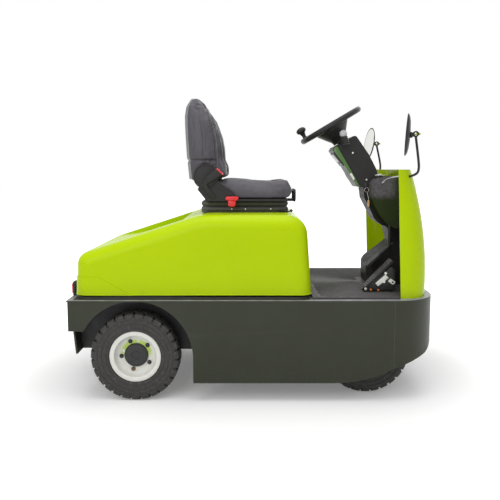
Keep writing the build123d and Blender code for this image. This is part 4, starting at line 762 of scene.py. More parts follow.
def make_wheels():
    """Dished rims, hub caps, bolts and the sidewalls' raised rings."""
    wheels = settings("tug_wheels")
    for axle in ("rear", "front"):
        for side, sign in SIDES.items():
            body = f"{axle}_wheel_{side}"
            axle_x, _, axle_z = JOINTS[body + "_spin"]["pos_m"]
            low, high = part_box(f"{axle}_tyre_{side}")
            face = Vector((axle_x, low[1] if sign < 0 else high[1], axle_z))
            inboard = LEFT * -sign

            bm = bmesh.new()
            add_lathe(bm, face, inboard, RIM_SECTION, WHEEL_SIDES, closed=True)
            rim = make_piece(f"{axle}_wheel_dish_{side}", bm, "rim", body)
            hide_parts(f"{axle}_rim_{side}")

            bm = bmesh.new()
            add_lathe(bm, face, inboard, HUB_SECTION, 48)
            hub = make_piece(f"{axle}_hub_cap_{side}", bm, "cast", body)
            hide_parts(f"{axle}_hub_{side}")

            heads = {"cast": bmesh.new(), "rust": bmesh.new()}
            for step in range(wheels.bolts):
                angle = wheels.phase + 2 * math.pi * step / wheels.bolts
                spot = face + (FORWARD * math.cos(angle) + UP * math.sin(angle)) * wheels.circle / 2
                finish = "rust" if step == RUSTY_BOLT else "cast"
                add_bolt(heads[finish], spot + inboard * RIM_FACE, -inboard, wheels.across, BOLT_HEAD)
            for finish, bm in heads.items():
                make_piece(f"{axle}_{finish}_bolts_{side}", bm, finish, body)

            bm = bmesh.new()
            for radius in TYRE_RINGS:
                share = (radius - SIDE_WALL_FOOT) / (SIDE_WALL_SHOULDER - SIDE_WALL_FOOT)
                sunk = SIDE_WALL_SINK * max(0.0, 1 - share)
                ring = [(radius + r, sunk + d) for r, d in RING_SECTION]
                add_lathe(bm, face, inboard, ring, WHEEL_SIDES, closed=True)
            make_piece(f"{axle}_tyre_rings_{side}", bm, "tyre", body)


# Body panels

# The nose wrap's lower edge rises forward from the skirt and then rolls up; its top stays level
NOSE_TOP = 0.05
NOSE_RISE = 0.361
NOSE_ROLL = 0.055
NOSE_ROLL_HEIGHT = 0.058


def make_nose_wrap():
    """The front bumper's pressed wrap with its lower edge rising to the roll under the nose."""
    low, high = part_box("front_bumper")
    node = frame["nodes"]["front_bumper"]
    bm = bmesh.new()
    corners = {}
    for polygon in node.data.polygons:
        face = []
        for index in polygon.vertices:
            place = node.data.vertices[index].co
            key = tuple(round(value, 5) for value in place)
            if key not in corners:
                corners[key] = bm.verts.new(place)
            face.append(corners[key])
        if len(set(face)) > 2:
            bm.faces.new(face)
    for vert in bm.verts:
        if vert.co.z < high[2] - NOSE_TOP:
            into_roll = min(1.0, max(0.0, 1 - (high[0] - vert.co.x) / NOSE_ROLL))
            roll = NOSE_ROLL_HEIGHT * (1 - math.sqrt(1 - into_roll**2))
            vert.co.z = low[2] + NOSE_RISE * (vert.co.x - low[0]) + roll
    wrap = make_piece("nose_wrap", bm, "skirt", "chassis")
    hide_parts("front_bumper")


# Hood: radius of its corners, thickness of its lip, how far its tail's band stands proud of its sides,
# how far ahead of its rear end that band runs out, and the stop buttons on its deck
HOOD_CORNER = 0.060
HOOD_HEM = 0.0028
HOOD_BAND = 0.004
BAND_END = (0.24, 0.28)
STOP_BUTTONS = ((0.201, 0.372), (0.216, 0.392))


def make_hood_details():
    """Lip round the hood's lower edge and stop buttons at the deck's front."""
    low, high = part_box("hood")
    front, rear = high[0] - HOOD_CORNER, low[0] + HOOD_CORNER
    side = high[1] - HOOD_CORNER
    points = []
    for x, y, start in ((front, side, 0), (rear, side, 90), (rear, -side, 180), (front, -side, 270)):
        centre = (x, y, low[2] + HOOD_HEM)
        points += arc(centre, HOOD_CORNER - HOOD_HEM / 2, start, start + 90, 10, (FORWARD, LEFT))
    for point in points:
        if point.x < front:
            inset = HOOD_BAND * ease(point.x, low[0] + BAND_END[0], low[0] + BAND_END[1])
            point.y -= math.copysign(inset, point.y)
    bm = bmesh.new()
    add_tube(bm, points, HOOD_HEM, 8, closed=True)
    make_piece("hood_lip", bm, "lime", "hood")

    hood = surface_of(frame["nodes"]["hood"])
    bm = bmesh.new()
    for sign in SIDES.values():
        for x, y in STOP_BUTTONS:
            point, normal, _, _ = hood.ray_cast(Vector((x, sign * y, 1.0)), -UP)
            add_screw(bm, point, normal, 0.006)
    make_piece("hood_stop_buttons", bm, "pale_plastic", "hood")


# Bellows: length and corner radius, and each roll's radius, height above the base's foot and width
BELLOWS_LENGTH = 0.431
BELLOWS_CORNER = 0.030
BELLOWS_ROLLS = ((0.0155, 0.0156, 0.402), (0.0140, 0.0415, 0.390))


def make_bellows():
    """Two soft rolls of the suspension's bellows round the seat's base."""
    low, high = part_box("seat_base")
    middle = (low[0] + high[0]) / 2
    bm = bmesh.new()
    for radius, rise, wide in BELLOWS_ROLLS:
        points = rounded(BELLOWS_LENGTH - 2 * radius, wide - 2 * radius, BELLOWS_CORNER, 6)
        roll = [Vector((middle + x, y, low[2] + rise)) for x, y in points]
        add_tube(bm, roll, radius, 16, closed=True)
    make_piece("seat_bellows", bm, "bellows", "hood")


# Floor mat: its plain edge and how much wider that is inside the shield, the strip along its rear
# with its two straight ribs, and how far the rings reach under the shield and keep off the column's foot
MAT_EDGE = 0.012
MAT_NARROW = 0.022
MAT_STRIP = 0.030
STRIP_RIBS = (0.008, 0.021)
UNDER_SHIELD = 0.045
FOOT_HALF = 0.11
# Longest straight piece of a curved rib, and the fewest points that make one
RIB_CHORD = 0.012
RIB_POINTS = 4


def make_mat_ribs():
    """Ribs of the floor mat in rings round the column's foot, and the strip along its rear edge."""
    mat = settings("tug_mat")
    low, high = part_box("floor_mat")
    shield_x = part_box("front_shield")[0][0]
    pedestal_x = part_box("pedestal")[0][0]

    def bare(point):
        """Whether a rib may lie here."""
        half = high[1] - MAT_EDGE - (MAT_NARROW if point.x > shield_x - MAT_EDGE else 0)
        on_mat = abs(point.y) < half and low[0] + MAT_STRIP < point.x < shield_x + UNDER_SHIELD
        return on_mat and not (point.x > pedestal_x and abs(point.y) < FOOT_HALF)

    bm = bmesh.new()
    radius = mat.first
    while radius < high[0] - low[0] + mat.ring_x:
        steps = max(24, int(2 * math.pi * radius / RIB_CHORD))
        ring = arc((mat.ring_x, 0, high[2]), radius, 0, 360, steps, (FORWARD, LEFT))
        for run in unbroken(ring, bare, RIB_POINTS):
            add_ridge(bm, run, mat.width, mat.height)
        radius += mat.pitch
    for inset in STRIP_RIBS:
        line = [Vector((low[0] + inset, y * high[1] * 0.96, high[2])) for y in (-1, -0.5, 0, 0.5, 1)]
        add_ridge(bm, line, 0.007, 0.0022)
    make_piece("floor_mat_ribs", bm, "mat", "chassis")


# Cockpit


# Steering wheel: radius of its ring and of the ring's bar, how far the ring lies below the joint's place,
# and the angles of its spokes and its knob from the forward spoke, in degrees
RING_RADIUS = 0.1585
RING_GRIP = 0.0145
RING_SINK = 0.006
SPOKE_ANGLES = (0, 120, 240)
KNOB_ANGLE = 149
# Sections along a spoke: (distance from the axis, width, height of its middle above the ring)
SPOKE = ((0.070, 0.060, -0.016), (0.092, 0.046, -0.010), (0.118, 0.038, -0.006), (0.160, 0.046, -0.002))
SPOKE_THICK = 0.010
SPOKE_ROUND = 0.0045
# Profiles of (radius, height above the ring)
STEERING_PAD = [
    (0.0, -0.0205),
    (0.024, -0.0210),
    (0.026, -0.0235),
    (0.030, -0.0235),
    (0.056, -0.0215),
    (0.072, -0.0140),
    (0.084, -0.0075),
    (0.0885, -0.0085),
    (0.0900, -0.0120),
    (0.0865, -0.0210),
    (0.0765, -0.0340),
    (0.0620, -0.0530),
    (0.0500, -0.0680),
    (0.0390, -0.0810),
    (0.0360, -0.0900),
    (0.0355, -0.0980),
    (0.0150, -0.0990),
    (0.0150, -0.1380),
    (0.0, -0.1380),
]
SPINNER_KNOB = [
    (0.0, 0.0),
    (0.0125, 0.006),
    (0.0125, 0.013),
    (0.0100, 0.018),
    (0.0105, 0.027),
    (0.0150, 0.040),
    (0.0235, 0.046),
    (0.0262, 0.052),
    (0.0252, 0.060),
    (0.0180, 0.0675),
    (0.0080, 0.0705),
    (0.0, 0.0710),
]


def make_steering_wheel():
    """Grip ring, closed centre pad on three spokes and the mushroom spinner knob."""
    joint = JOINTS["steering_wheel_turn"]
    axis = Vector(joint["axis"])
    centre = Vector(joint["pos_m"]) - axis * RING_SINK
    along = LEFT.cross(axis).normalized()

    def spot(radius, angle, rise):
        """Point of the wheel: radius, angle from the forward spoke in degrees, and rise above the ring."""
        turn = math.radians(angle)
        return centre + (along * math.cos(turn) + LEFT * math.sin(turn)) * radius + axis * rise

    bm = bmesh.new()
    add_tube(bm, [spot(RING_RADIUS, 5 * step, 0) for step in range(72)], RING_GRIP, 16, closed=True)
    ring = make_piece("steering_grip", bm, "plastic", "steering_wheel")
    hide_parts("steering_wheel")

    bm = bmesh.new()
    add_lathe(bm, centre, axis, STEERING_PAD, 56)
    for angle in SPOKE_ANGLES:
        sections = []
        for radius, width, rise in SPOKE:
            middle = spot(radius, angle, rise)
            side = (spot(radius, angle + 90, 0) - centre).normalized()
            outline = rounded(width, SPOKE_THICK, SPOKE_ROUND)
            sections.append([middle + side * a + axis * b for a, b in outline])
        add_loft(bm, sections)
    make_piece("steering_pad", bm, "plastic", "steering_wheel")

    bm = bmesh.new()
    add_lathe(bm, spot(RING_RADIUS, KNOB_ANGLE, 0), axis, SPINNER_KNOB, 32)
    make_piece("spinner_knob", bm, "plastic", "steering_wheel")


# Column head: half width of its body, its screws (X, Z), the side outline of its display panel
# in millimetres, and the upper and lower end of the display's face
COLUMN_HALF = 0.078
COLUMN_SCREWS = ((0.536, 1.1535), (0.608, 1.019))
PANEL_OUTLINE = [(436, 1166), (444, 1181), (456, 1186), (572, 989), (563, 986), (500, 1084)]
DISPLAY_TOP, DISPLAY_FOOT = Vector((0.432, 0, 1.166)), Vector((0.500, 0, 1.084))
DISPLAY_KEYS = 4
KEY_PITCH = 0.028
# Key switch under the head's near side, and where its chain and its tag hang beside the pedestal
KEY_SWITCH = Vector((0.604, -COLUMN_HALF + 0.002, 0.992))
KEY_CHAIN = (Vector((0.617, -0.090, 0.930)), Vector((0.619, -0.087, 0.914)))
KEY_TAG = (0.619, -0.086, 0.899)
# Direction lever: foot of its boot, which way it leans, and the bar that carries it
LEVER_FOOT = Vector((0.493, -0.122, 1.190))
LEVER_LEAN = Vector((-0.23, 0, 1)).normalized()
LEVER_BAR = ((0.492, -0.070, 1.196), (0.492, -0.120, 1.196))


def make_column_details():
    """Screws, green panel edge and clips, display with its keys, key with its tag, and direction lever."""
    panel_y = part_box("column_head")[1][1]
    bm = bmesh.new()
    for sign in SIDES.values():
        for x, z in COLUMN_SCREWS:
            add_screw(bm, (x, sign * COLUMN_HALF, z), LEFT * sign, 0.0052)
    make_piece("column_screws", bm, "zinc", "chassis")

    bm = bmesh.new()
    clip = bmesh.new()
    slope = Matrix.Rotation(-0.55, 4, "Y")
    for sign in SIDES.values():
        add_plate(bm, PANEL_OUTLINE, *span(sign, panel_y - 0.0005, panel_y + 0.0012), 0.0004)
        add_block(clip, (0.5345, sign * (panel_y + 0.0010), 1.035), (0.010, 0.004, 0.036), 0.001, slope)
    make_piece("panel_edge_trim", bm, "green", "chassis")
    make_piece("panel_clips", clip, "cream_plastic", "chassis")

    down = (DISPLAY_FOOT - DISPLAY_TOP).normalized()
    out = LEFT.cross(down).normalized()
    middle = (DISPLAY_TOP + DISPLAY_FOOT) / 2 + down * 0.004
    turn = Matrix((down, LEFT, down.cross(LEFT))).transposed().to_4x4()
    bm = bmesh.new()
    add_block(bm, middle + out * 0.001, (0.082, 0.142, 0.006), 0.002, turn)
    make_piece("display_bezel", bm, "plastic", "chassis")
    bm = bmesh.new()
    add_block(bm, middle + out * 0.0042 - down * 0.010, (0.046, 0.088, 0.002), 0.0006, turn)
    make_piece("display_screen", bm, "screen", "chassis")
    bm = bmesh.new()
    for step in range(DISPLAY_KEYS):
        across = (step - (DISPLAY_KEYS - 1) / 2) * KEY_PITCH
        place = middle + out * 0.0048 + down * 0.027 + LEFT * across
        add_block(bm, place, (0.013, 0.019, 0.004), 0.0012, turn)
    make_piece("display_keys", bm, "pale_plastic", "chassis")

    bm = bmesh.new()
    add_lathe(bm, KEY_SWITCH, -LEFT, button(0.011, 0.004, 0.009, 0.006), 28)
    add_block(bm, KEY_SWITCH + Vector((0.002, -0.011, -0.006)), (0.004, 0.012, 0.018), 0.001)
    make_piece("key_switch", bm, "cast", "chassis")
    bm = bmesh.new()
    add_tube(bm, arc(KEY_SWITCH + Vector((0.004, -0.012, -0.024)), 0.011, 0, 350, 28), 0.0011, 8, closed=True)
    chain = [KEY_SWITCH + Vector((0.006, -0.012, -0.036)), *KEY_CHAIN]
    add_tube(bm, smooth_line(chain, 4), 0.0009, 6)
    make_piece("key_ring", bm, "zinc", "chassis")
    bm = bmesh.new()
    add_block(bm, KEY_TAG, (0.011, 0.004, 0.032), 0.0016)
    make_piece("key_tag", bm, "tag", "chassis")
    make_direction_lever()


def make_direction_lever():
    """Direction lever: a ribbed boot under a pale round cap."""
    boot = [(0.0, 0.0), (0.0215, 0.0), (0.0225, 0.004)]
    for step in range(4):
        rise = 0.009 + step * 0.0085
        boot += [(0.0190 - step * 0.0008, rise), (0.0212 - step * 0.0010, rise + 0.004)]
    boot += [(0.0150, 0.044), (0.0, 0.046)]
    bm = bmesh.new()
    add_lathe(bm, LEVER_FOOT, LEVER_LEAN, boot, 28)
    add_tube(bm, LEVER_BAR, 0.009, 14)
    lever = make_piece("direction_boot", bm, "plastic", "chassis")
    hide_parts("direction_lever")
    cap = [*ball(0.0185, [step / 10 for step in range(5, 31, 2)]), (0.0, 0.0370)]
    bm = bmesh.new()
    add_lathe(bm, LEVER_FOOT + LEVER_LEAN * 0.0385, LEVER_LEAN, cap, 28)
    make_piece("direction_cap", bm, "pale_plastic", "chassis")


# Dash: places of its rocker switches across the vehicle, and the gaiter that closes the gap to the column
# head, as soft folds: its centre, its lean and each fold's step inward and up
SWITCH_PLACES = (-0.150, -0.118, 0.118, 0.150)
GAITER_CENTRE = Vector((0.668, 0, 1.010))
GAITER_LEAN = Vector((-0.35, 0, 1)).normalized()
GAITER_FOLDS = 5
FOLD_IN, FOLD_UP = 0.007, 0.011


def make_dash_details():
    """Rims along the dash top, rocker switches in their housings and the gaiter round the column."""
    low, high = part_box("dash_pod")
    half = high[1] - 0.004
    top = high[2]
    bm = bmesh.new()
    line = [
        (low[0] + 0.046, -half, top - 0.031),
        (low[0] + 0.070, -half, top - 0.010),
        (high[0] - 0.030, -half, top + 0.001),
    ]
    near = smooth_line(line, 5)
    add_tube(bm, near, 0.0045, 10)
    add_tube(bm, [Vector((p.x, -p.y, p.z)) for p in near], 0.0045, 10)
    make_piece("dash_rim", bm, "pale_plastic", "chassis")

    pod = surface_of(frame["nodes"]["dash_pod"])
    housings, rockers = bmesh.new(), bmesh.new()
    for y in SWITCH_PLACES:
        point, normal, _, _ = pod.ray_cast(Vector((low[0] + 0.036, y, top + 0.1)), -UP)
        turn = facing(normal)
        add_block(housings, point + normal * 0.004, (0.024, 0.034, 0.012), 0.003, turn)
        tip = turn @ Matrix.Rotation(0.20, 4, "X")
        add_block(rockers, point + normal * 0.011, (0.017, 0.026, 0.009), 0.0025, tip)
    make_piece("switch_housings", housings, "plastic", "chassis")
    make_piece("rocker_switches", rockers, "pale_plastic", "chassis")

    folds = [(0.0, -0.030)]
    for step in range(GAITER_FOLDS):
        inward, up = FOLD_IN * step, FOLD_UP * step
        folds += [(0.092 - inward, -0.022 + up), (0.086 - inward, -0.0165 + up)]
    bm = bmesh.new()
    add_lathe(bm, GAITER_CENTRE, GAITER_LEAN, [*folds, (0.0, 0.034)], 48, stretch=(1.0, 0.55))
    make_piece("column_gaiter", bm, "bellows", "chassis")


# Side outlines of the pedals' fittings, X and Z in millimetres, on the outer side of the treadle
BRACKET_OUTLINE = [(618, 530), (665, 572), (681, 557), (629, 516)]
LINK_OUTLINE = [(677, 540), (690, 553), (713, 538), (708, 527), (699, 524)]
CHEEK_OUTLINE = [(571, 496), (600, 527), (690, 610), (712, 597), (712, 496)]
# Places (X, Z) of its bolts and stops and of the pin of its link
PEDAL_BOLTS = ((0.665, 0.579), (0.658, 0.538), (0.571, 0.503))
PEDAL_STOPS = ((0.597, 0.499), (0.632, 0.498))
LINK_PIN = (0.699, 0.5365)
# Foot and top (X, Z) of each pad's face, with its width and its number of ribs
TREADLE = ((0.565, 0.508), (0.696, 0.642), 0.070, 15)
BRAKE_PAD = ((0.598, 0.598), (0.656, 0.652), 0.062, 7)


def make_pedals():
    """Grooved rubber on both pads, and the accelerator's brackets, bolts, stops and cheek."""
    bm = bmesh.new()
    for pedal, (foot, top, width, ribs) in (("accelerator_pedal", TREADLE), ("brake_pedal", BRAKE_PAD)):
        low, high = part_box(pedal)
        y = (low[1] + high[1]) / 2
        start, end = Vector((foot[0], y, foot[1])), Vector((top[0], y, top[1]))
        out = (end - start).cross(LEFT).normalized()
        for step in range(ribs):
            middle = start + (end - start) * (step + 0.7) / (ribs + 0.4) + out * 0.0002
            add_ridge(bm, [middle - LEFT * width / 2, middle + LEFT * width / 2], 0.0060, 0.0030, out)
    make_piece("pedal_treads", bm, "mat", "chassis")

    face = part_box("accelerator_pedal")[0][1] - 0.001
    bm = bmesh.new()
    add_plate(bm, BRACKET_OUTLINE, face - 0.003, face + 0.030, 0.0012)
    add_plate(bm, LINK_OUTLINE, face - 0.002, face + 0.030, 0.0012)
    make_piece("accelerator_brackets", bm, "cream_plastic", "chassis")
    bm = bmesh.new()
    for x, z in PEDAL_BOLTS:
        add_bolt(bm, (x, face + 0.001, z), -LEFT, 0.0095, 0.006)
    make_piece("accelerator_bolts", bm, "zinc", "chassis")
    bm = bmesh.new()
    for x, z in PEDAL_STOPS:
        add_lathe(bm, (x, face + 0.004, z), -LEFT, button(0.0052, 0.004, 0.004, 0.006), 20)
    make_piece("accelerator_stops", bm, "orange", "chassis")
    bm = bmesh.new()
    add_plate(bm, CHEEK_OUTLINE, face + 0.006, face + 0.016, 0.002)
    pin = [(0, 0), (0.0045, 0), (0.0045, 0.003), (0, 0.003)]
    add_lathe(bm, (LINK_PIN[0], face - 0.0025, LINK_PIN[1]), LEFT, pin, 20)
    make_piece("accelerator_cheek", bm, "frame", "chassis")


# How each mirror is set: its own shift forward and up, its stem's shift forward,
# and its lean and its toe in degrees
MIRROR_SET = {"right": (0.004, 0.0, 0.0, 3.4, 16), "left": (-0.012, -0.010, -0.012, 9, 15)}
MIRROR_Y = 0.417
# Half width and half height of the oval, and its shell's and glass's profiles: (share of the oval, height)
MIRROR_OVAL = (0.0610, 0.0945)
MIRROR_SHELL = [
    (0.0, -0.0120),
    (0.35, -0.0112),
    (0.65, -0.0088),
    (0.86, -0.0045),
    (0.965, 0.0000),
    (1.0, 0.0035),
    (0.995, 0.0060),
    (0.965, 0.0066),
    (0.940, 0.0050),
    (0.0, 0.0050),
]
MIRROR_GLASS = [(0, 0.0048), (0.94, 0.0048), (0.93, 0.0060), (0, 0.0064)]
# Profiles of the socket behind the shell and of the ring clamp on the stem: (radius, height)
MIRROR_SOCKET = [(0, 0), (0.0135, 0), (0.0135, 0.007), (0.0105, 0.011), (0.006, 0.013), (0, 0.013)]
MIRROR_CLAMP = [(0.0075, -0.008), (0.0135, -0.008), (0.0140, 0.0), (0.0135, 0.008), (0.0075, 0.008)]


def make_mirrors():
    """Oval mirrors: convex shells with bright glass, each on a thin rod held in a ring clamp on its stem."""
    for side, sign in SIDES.items():
        ahead, lift, stem_ahead, lean, toe = MIRROR_SET[side]
        lean, toe = math.radians(lean), math.radians(toe)
        centre = Vector((0.723 + ahead, sign * MIRROR_Y, 1.225 + lift))
        look = Vector((-math.cos(toe), -sign * math.sin(toe), math.sin(lean))).normalized()
        back = centre - look * 0.011
        clamp = Vector((0.763 + stem_ahead, sign * MIRROR_Y, 1.228 + lift))
        bend = stem_ahead / 2
        stem = [
            (0.7365, sign * 0.3830, 1.034),
            (0.7600 + bend, sign * 0.4000, 1.043),
            (0.7760 + bend, sign * 0.4120, 1.054),
            (0.7815 + bend, sign * 0.4165, 1.072),
            (0.7795 + bend, sign * MIRROR_Y, 1.110),
            (0.7640 + stem_ahead, sign * MIRROR_Y, 1.217 + lift),
        ]
        bm = bmesh.new()
        add_lathe(bm, centre, look, MIRROR_SHELL, 56, stretch=MIRROR_OVAL)
        add_lathe(bm, back, FORWARD, MIRROR_SOCKET, 24)
        add_lathe(bm, clamp, LEFT, MIRROR_CLAMP, 28, closed=True)
        add_tube(bm, smooth_line(stem, 6), 0.0056, 14)
        piece = make_piece(f"mirror_shell_{side}", bm, "plastic", "chassis")
        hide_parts(f"mirror_{side}")

        bm = bmesh.new()
        add_lathe(bm, centre, look, MIRROR_GLASS, 56, stretch=MIRROR_OVAL)
        make_piece(f"mirror_glass_{side}", bm, "mirror", "chassis")
        bm = bmesh.new()
        rod = [back + FORWARD * 0.010, clamp + Vector((0.020, 0, 0.001))]
        add_tube(bm, rod, 0.0036, 12)
        add_lathe(bm, rod[1] - FORWARD * 0.004, FORWARD, button(0.0055, 0.004, 0.0025, 0.006), 16)
        make_piece(f"mirror_rod_{side}", bm, "lime", "chassis")


# Tail lamp: how much narrower and lower its lens is than the housing, the radius of the lens's corners,
# its steps as (depth, inset) and its ribs
LENS_EDGE = 0.014
LENS_CORNER = 0.010
LENS_STEPS = ((0.004, 0.0), (0.0, 0.0), (-0.0012, 0.0012), (-0.0016, 0.004))
LENS_RIBS = 7
# Headlamp: profile of its bezel (share of the lamp's radius, height), and the flutes of its glass,
# their pitch, width and reach as shares of that radius
BEZEL = [
    (1.0, -0.0100),
    (1.10, -0.0070),
    (1.12, -0.0030),
    (1.06, 0.0005),
    (0.90, 0.0010),
    (0.86, -0.0030),
    (0.86, -0.0100),
]
FLUTES_EACH_WAY = 7
FLUTE_PITCH = 0.112
FLUTE_WIDTH = 0.100
FLUTE_REACH = 0.84


def make_tail_lamp(side):
    """Ribbed red lens and screws of a tail lamp."""
    low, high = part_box(f"tail_lamp_{side}")
    y = (low[1] + high[1]) / 2
    z = (low[2] + high[2]) / 2
    wide, tall = high[1] - low[1] - LENS_EDGE, high[2] - low[2] - LENS_EDGE
    sections = []
    for x, inset in LENS_STEPS:
        points = rounded(wide - 2 * inset, tall - 2 * inset, LENS_CORNER - inset)
        sections.append([Vector((low[0] + x, y + a, z + b)) for a, b in points])
    bm = bmesh.new()
    add_loft(bm, sections)
    for step in range(LENS_RIBS):
        level = z + (step - LENS_RIBS // 2) * tall / 8.2
        line = [Vector((low[0] - 0.0012, y + a * wide * 0.42, level)) for a in (-1, 0, 1)]
        add_ridge(bm, line, 0.0042, 0.0014, -FORWARD)
    make_piece(f"tail_lens_{side}", bm, "red_lens", "chassis")
    bm = bmesh.new()
    for dz in (-1, 1):
        add_screw(bm, (low[0] + 0.0062, y + 0.0225, z + dz * 0.026), -FORWARD, 0.0028)
    make_piece(f"tail_lamp_screws_{side}", bm, "zinc", "chassis")


def make_headlamp(side):
    """Bezel and fluted glass of a headlamp."""
    low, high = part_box(f"headlamp_{side}")
    centre = Vector((high[0], (low[1] + high[1]) / 2, (low[2] + high[2]) / 2))
    radius = (high[1] - low[1]) / 2
    bm = bmesh.new()
    add_lathe(bm, centre, FORWARD, [(r * radius, h) for r, h in BEZEL], 56, closed=True)
    make_piece(f"headlamp_bezel_{side}", bm, "plastic", "chassis")
    bm = bmesh.new()
    for step in range(-FLUTES_EACH_WAY, FLUTES_EACH_WAY + 1):
        across = step * radius * FLUTE_PITCH
        reach = math.sqrt(max(0.0, (FLUTE_REACH * radius) ** 2 - across**2))
        line = []
        for share in range(-6, 7):
            z = reach * share / 6
            dome = 0.0004 - 0.0045 * (across**2 + z**2) / radius**2
            line.append(centre + Vector((dome, across, z)))
        add_ridge(bm, line, radius * FLUTE_WIDTH, 0.0013, FORWARD)
    make_piece(f"headlamp_flutes_{side}", bm, "lamp", "chassis")


def make_lamps():
    """Lenses and screws of the tail lamps, and bezels and fluted glass of the headlamps."""
    for side in SIDES:
        make_tail_lamp(side)
        make_headlamp(side)


# Battery: its cells, the tray's edge round them, the gap between their lids, a filler cap's profile,
# and the width and height of the tray's rim
CELL_COLUMNS, CELL_ROWS = 4, 6
TRAY_EDGE = 0.022
CELL_GAP = 0.006
FILLER_CAP = [(0.015, 0.0), (0.015, 0.008), (0.011, 0.012), (0.0, 0.012)]
TRAY_RIM = 0.008
TRAY_RIM_HEIGHT = 0.016


def make_battery_top():
    """Cell lids with filler caps, lead links and the tray's rim on top of the battery block."""
    low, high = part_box("battery")
    pitch_x = (high[0] - low[0] - 2 * TRAY_EDGE) / CELL_COLUMNS
    pitch_y = (high[1] - low[1] - 2 * TRAY_EDGE) / CELL_ROWS
    lids, caps, links = bmesh.new(), bmesh.new(), bmesh.new()
    for column in range(CELL_COLUMNS):
        for row in range(CELL_ROWS):
            x = low[0] + TRAY_EDGE + pitch_x * (column + 0.5)
            y = low[1] + TRAY_EDGE + pitch_y * (row + 0.5)
            lid = (pitch_x - CELL_GAP, pitch_y - CELL_GAP, 0.012)
            add_block(lids, (x, y, high[2] + 0.004), lid, 0.003)
            add_lathe(caps, (x, y, high[2] + 0.009), UP, FILLER_CAP, 20)
            if row < CELL_ROWS - 1:
                link_x = x + pitch_x * (0.28 if (row + column) % 2 else -0.28)
                link_y = y + pitch_y / 2
                add_block(links, (link_x, link_y, high[2] + 0.013), (0.020, pitch_y * 0.62, 0.007), 0.002)
                for end in (-1, 1):
                    spot = (link_x, link_y + end * pitch_y * 0.24, high[2] + 0.016)
                    add_bolt(links, spot, UP, 0.011, 0.006)
    make_piece("battery_lids", lids, "screen", "chassis")
    make_piece("battery_caps", caps, "pale_plastic", "chassis")
    make_piece("battery_links", links, "lead", "chassis")
    bm = bmesh.new()
    top = high[2] + 0.005
    middle = (low[0] + high[0]) / 2
    for sign, end in ((-1, low[0] + 0.006), (1, high[0] - 0.006)):
        side = (high[0] - low[0], TRAY_RIM, TRAY_RIM_HEIGHT)
        add_block(bm, (middle, sign * (high[1] - 0.006), top), side, 0.002)
        cross = (TRAY_RIM, high[1] - low[1] - 0.020, TRAY_RIM_HEIGHT)
        add_block(bm, (end, 0, top), cross, 0.002)
    make_piece("battery_tray_rim", bm, "battery", "chassis")


def make_coupling_bolts():
    """Bolts of the tow coupling's back plate and of the rear bumper."""
    low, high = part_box("tow_coupling")
    bumper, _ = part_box("rear_bumper")
    bm = bmesh.new()
    for sign in SIDES.values():
        for z in (low[2] + 0.020, (low[2] + high[2]) / 2, high[2] - 0.020):
            add_bolt(bm, (bumper[0] - 0.008, sign * (high[1] - 0.0065), z), -FORWARD, 0.0090, 0.006)
    make_piece("coupling_bolts", bm, "zinc", "chassis")
    bm = bmesh.new()
    for sign in SIDES.values():
        for y in (0.16, 0.40):
            add_bolt(bm, (bumper[0] + 0.004, sign * y, bumper[2] + 0.045), -FORWARD, 0.013, 0.0035)
    make_piece("rear_bumper_bolts", bm, "frame", "chassis")


# Seat

# Cuts across each side of a cover's first form, and the frames that its filling takes
PAD_CUTS = 26
FILL_FRAMES = 20


def pad_form(name, place):
    """Closed box of fine squares, its unit points taken to their places by place(u, v, w)."""
    bm = bmesh.new()
    bmesh.ops.create_cube(bm, size=2)
    bmesh.ops.subdivide_edges(bm, edges=bm.edges[:], cuts=PAD_CUTS, use_grid_fill=True)
    for vert in bm.verts:
        vert.co = place(*vert.co)
    return link_mesh(name, bm)


def apply_modifier(piece, modifier):
    """Take a modifier's result into the mesh."""
    graph = bpy.context.evaluated_depsgraph_get()
    mesh = bpy.data.meshes.new_from_object(piece.evaluated_get(graph), depsgraph=graph)
    piece.modifiers.remove(modifier)
    old = piece.data
    piece.data = mesh
    bpy.data.meshes.remove(old)


def fill_pad(piece, rise, held):
    """Fill a closed cover as cloth under pressure, each point kept within rise of where it began."""
    seat = settings("tug_seat")
    grid = piece.modifiers.new("grid", "REMESH")
    grid.mode = "VOXEL"
    grid.voxel_size = seat.voxel
    apply_modifier(piece, grid)
    before = [vert.co.copy() for vert in piece.data.vertices]
    group = piece.vertex_groups.new(name="held")
    group.add([index for index, co in enumerate(before) if held(co)], 1.0, "REPLACE")
    cloth = piece.modifiers.new("filling", "CLOTH")
    cloth.settings.vertex_group_mass = "held"
    cloth.settings.use_pressure = True
    cloth.settings.uniform_pressure_force = seat.pressure
    cloth.settings.effector_weights.gravity = 0
    for step in range(1, FILL_FRAMES + 1):
        bpy.context.scene.frame_set(step)
    apply_modifier(piece, cloth)
    bpy.context.scene.frame_set(1)
    for vert, start in zip(piece.data.vertices, before):
        moved = vert.co - start
        if moved.length > rise:
            vert.co = start + moved.normalized() * rise
    finer = piece.modifiers.new("finer", "SUBSURF")
    finer.levels = finer.render_levels = 1
    apply_modifier(piece, finer)


def sew(piece, field, runs, width, depth):
    """Pull the cover in along the lines where the field is zero, in the parts where the seam runs."""
    bm = bmesh.new()
    bm.from_mesh(piece.data)
    bm.normal_update()
    sewn = [vert for vert in bm.verts if runs(vert.co)]
    moves = [vert.normal * depth * math.exp(-((field(vert.co) / width) ** 2)) for vert in sewn]
    for vert, move in zip(sewn, moves):
        vert.co -= move
    bm.to_mesh(piece.data)
    bm.free()
    piece.data.polygons.foreach_set("use_smooth", [True] * len(piece.data.polygons))
    piece.data.update()


# Radius of a stitch at its ends and its middle, how deep its ends sit and how high its middle
STITCH_RADII = [0.0005, 0.0009, 0.0005]
STITCH_SINK = 0.0008
STITCH_RISE = 0.0006


